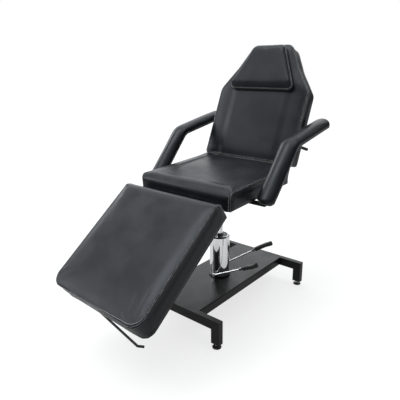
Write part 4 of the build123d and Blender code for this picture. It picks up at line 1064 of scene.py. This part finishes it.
def finishPad(name, piece, pad):
    applyModifier(
        piece, "SMOOTH", "easeSkin", factor=padMaking["smoothShare"], iterations=padMaking["skinRounds"]
    )
    points = fillOut(readPoints(piece.data), pad)
    across, along = pad["fields"](pad, points)
    if "shape" in pad:
        points = pad["shape"](points)
    writePoints(piece.data, points)
    for label, values in (("seamAcross", across), ("seamAlong", along)):
        attribute = piece.data.attributes.new(label, "FLOAT", "POINT")
        attribute.data.foreach_set("value", values.astype(np.float32))
    piece.vertex_groups.clear()
    applyModifier(piece, "SUBSURF", "fineSkin", levels=1, render_levels=1)
    points = readPoints(piece.data)
    fine = {}
    for label in ("seamAcross", "seamAlong"):
        fine[label] = np.empty(len(points), np.float32)
        piece.data.attributes[label].data.foreach_get("value", fine[label])
    normals = np.empty(len(points) * 3)
    piece.data.vertices.foreach_get("normal", normals)
    relief = seamRelief(fine["seamAcross"], fine["seamAlong"])
    writePoints(piece.data, points + normals.reshape(-1, 3) * relief[:, None])
    piece.data.transform(pad["frame"])
    piece.data.materials.clear()
    piece.data.materials.append(upholstery)
    makeActive(piece)
    bpy.ops.object.shade_smooth()
    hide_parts(pad["node"])
    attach(piece, pad["body"])


padPieces = {name: startPad(name, pad) for name, pad in pads.items()}
restPoints = {name: readPoints(piece.data) for name, piece in padPieces.items()}
print("cushions remeshed:", {name: len(points) for name, points in restPoints.items()})
for piece in padPieces.values():
    addFilling(piece)
for step in range(1, padMaking["fillFrames"] + 1):
    scene.frame_set(step)
graph = bpy.context.evaluated_depsgraph_get()
for name, piece in padPieces.items():
    filled = readPoints(piece.evaluated_get(graph).data)
    piece.modifiers.clear()
    settlePad(piece, pads[name], restPoints[name], filled)
scene.frame_set(1)
print("cushions filled")
for name, piece in padPieces.items():
    finishPad(name, piece, pads[name])
print("cushions finished")


stitching = {
    "pitch": 0.0066,
    "length": 0.0047,
    "thickness": 0.0015,
    "rowGap": 0.0042,
    "sink": 0.0002,
    "shortest": 0.5,  # in pitches: a stitch outside these two is left out
    "longest": 1.6,
    "sides": 6,
    "barrel": 0.7,  # in stitch lengths, with a tip on both ends
    "tip": 0.15,
    "tipWidth": 0.55,
}


def stitchTemplate():
    deselectAll()
    bpy.ops.mesh.primitive_cylinder_add(
        vertices=stitching["sides"], radius=0.5, depth=stitching["barrel"], location=(0, 0, 0)
    )
    template = bpy.context.object
    bpy.ops.object.mode_set(mode="EDIT")
    bpy.ops.mesh.select_all(action="DESELECT")
    bpy.ops.mesh.select_mode(type="FACE")
    bpy.ops.object.mode_set(mode="OBJECT")
    for face in template.data.polygons:
        face.select = abs(face.normal.z) > 0.9
    bpy.ops.object.mode_set(mode="EDIT")
    bpy.ops.mesh.extrude_region_shrink_fatten(TRANSFORM_OT_shrink_fatten={"value": stitching["tip"]})
    bpy.ops.transform.resize(value=(stitching["tipWidth"], stitching["tipWidth"], 1.0))
    bpy.ops.object.mode_set(mode="OBJECT")
    points = readPoints(template.data)
    faces = [tuple(face.vertices) for face in template.data.polygons]
    bpy.data.objects.remove(template)
    return points, faces


stitchPoints, stitchFaces = stitchTemplate()


# Lays stitches end to end on the cushion's skin, under each row of points
def sewRows(name, padName, rows):
    pad, pitch, thickness = pads[padName], stitching["pitch"], stitching["thickness"]
    surface = BVHTree.FromObject(padPieces[padName], bpy.context.evaluated_depsgraph_get())
    vertices, faces = [], []
    for row in rows:
        samples, _ = evenSteps(row, pitch)
        landed = [surface.find_nearest(pad["frame"] @ Vector(point)) for point in samples]
        for (start, normal, *_), (end, nextNormal, *_) in zip(landed, landed[1:]):
            run = end - start
            if run.length < pitch * stitching["shortest"] or run.length > pitch * stitching["longest"]:
                continue
            along = run.normalized()
            across = (normal + nextNormal).normalized().cross(along).normalized()
            up = along.cross(across)
            centre = start + run * 0.5 + up * (thickness * 0.5 - stitching["sink"])
            first = len(vertices)
            for x, y, z in stitchPoints:
                spread = across * (x * thickness) + up * (y * thickness)
                vertices.append(centre + spread + along * (z * stitching["length"]))
            faces.extend([tuple(first + k for k in face) for face in stitchFaces])
    mesh = bpy.data.meshes.new(name)
    mesh.from_pydata([tuple(v) for v in vertices], [], faces)
    mesh.update()
    stitches = bpy.data.objects.new(name, mesh)
    scene.collection.objects.link(stitches)
    mesh.materials.append(thread)
    makeActive(stitches)
    bpy.ops.object.mode_set(mode="EDIT")
    bpy.ops.mesh.select_all(action="SELECT")
    bpy.ops.mesh.normals_make_consistent(inside=False)
    bpy.ops.object.mode_set(mode="OBJECT")
    bpy.ops.object.shade_smooth()
    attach(stitches, pad["body"])


# Two rows, one on each side of the seam: the panel row moves in, the boxing row moves down
def twinRows(pad):
    gap = stitching["rowGap"]
    path, _ = evenSteps(pad["seam"](pad), sampleSteps["coarse"])
    middle = path.mean(axis=0)
    panel, boxing = [], []
    for i, point in enumerate(path):
        run = path[min(i + 1, len(path) - 1)] - path[max(i - 1, 0)]
        run = run / max(np.linalg.norm(run), 1e-9)
        inward = np.array([-np.sign(point[0]) if abs(run[0]) < 0.99 else 0.0, 0.0, 0.0])
        flat = np.cross(run, (0, 0, 1.0))
        if np.linalg.norm(flat) > 0.3:  # the seam runs level enough for its plan to show the way in
            flat /= np.linalg.norm(flat)
            inward = -flat if np.dot(flat[:2], (middle - point)[:2]) < 0 else flat
        down = np.cross(inward, run)
        if down[2] > 0 or (abs(down[2]) < 0.2 and down[1] * (middle - point)[1] < 0):
            down = -down
        panel.append(point + inward * gap)
        boxing.append(point + down * gap)
    return [panel, boxing]


def rowsOf(pad):
    gap = stitching["rowGap"]
    if "side" in pad:
        return [armSeam(pad["side"], gap), armSeam(pad["side"], -gap)]
    return twinRows(pad)


for padName in pads:
    sewRows(padName + "Stitches", padName, rowsOf(pads[padName]))
print("seams stitched")


studio = {
    "floorSize": 40.0,
    "floorCuts": 8,
    "floorColour": 0.22,
    "whiteShare": 0.73,
    "glossShare": 0.35,
    "dome": (0.05, 0.60, 0.26, 0.62),  # heights between which it brightens, and its two glows
    "rightShade": (-0.2, 0.7, 1.0, 0.6),
    "tint": (0.96, 0.98, 1.0, 1.0),
    "softLights": [  # azimuth, elevation, outer and inner half angle in degrees, glow
        (-134, 32, 33, 11, 0.42),
        (-147, 23, 15, 6, 5.5),
        (-134, 60, 19, 9, 6.5),
        (130, 32, 44, 14, 1.35),
        (172, 22, 14, 6, 5.0),
        (0, 90, 34, 18, 2.7),
    ],
}


def aimAt(azimuth, elevation):
    a, e = math.radians(azimuth), math.radians(elevation)
    return (math.cos(e) * math.cos(a), math.cos(e) * math.sin(a), math.sin(e))


world = bpy.data.worlds.new("studioWorld")
scene.world = world
world.use_nodes = True
tree = world.node_tree
tree.nodes.clear()
where = addNode(tree, "ShaderNodeTexCoord").outputs["Generated"]
split = addNode(tree, "ShaderNodeSeparateXYZ", [(0, where)])
dome = rampNode(tree, split.outputs["Z"], *studio["dome"])
glow = timesNode(tree, dome, rampNode(tree, split.outputs["X"], *studio["rightShade"]))
for azimuth, elevation, outer, inner, strength in studio["softLights"]:
    near = dotNode(tree, where, aimAt(azimuth, elevation))
    edges = math.cos(math.radians(outer)), math.cos(math.radians(inner))
    glow = mathNode(tree, "ADD", glow, rampNode(tree, near, *edges, 0.0, strength))
surround = addNode(tree, "ShaderNodeBackground", [("Color", studio["tint"]), ("Strength", glow)])
white = addNode(tree, "ShaderNodeBackground", [("Color", (1.0, 1.0, 1.0, 1.0)), ("Strength", 1.0)])
seen = addNode(tree, "ShaderNodeLightPath").outputs["Is Camera Ray"]
mixed = addNode(
    tree, "ShaderNodeMixShader", [(0, seen), (1, surround.outputs[0]), (2, white.outputs[0])]
)
addNode(tree, "ShaderNodeOutputWorld", [("Surface", mixed.outputs[0])])

deselectAll()
bpy.ops.mesh.primitive_grid_add(
    x_subdivisions=studio["floorCuts"], y_subdivisions=studio["floorCuts"],
    size=studio["floorSize"], location=(0, 0, 0),
)
floor = bpy.context.object
floor.name = "paleFloor"
floorMaterial = bpy.data.materials.new("paleFloor")
floorMaterial.use_nodes = True
tree = floorMaterial.node_tree
tree.nodes.clear()
level = studio["floorColour"]
matte = addNode(tree, "ShaderNodeBsdfDiffuse", [("Color", (level, level, level, 1.0))])
rays = addNode(tree, "ShaderNodeLightPath")
lift = mathNode(
    tree, "ADD", timesNode(tree, rays.outputs["Is Camera Ray"], studio["whiteShare"]),
    timesNode(tree, rays.outputs["Is Glossy Ray"], studio["glossShare"]),
)
glowing = addNode(tree, "ShaderNodeEmission", [("Color", (1.0, 1.0, 1.0, 1.0)), ("Strength", lift)])
added = addNode(tree, "ShaderNodeAddShader", [(0, matte.outputs[0]), (1, glowing.outputs[0])])
addNode(tree, "ShaderNodeOutputMaterial", [("Surface", added.outputs[0])])
floor.data.materials.append(floorMaterial)
print("studio set")
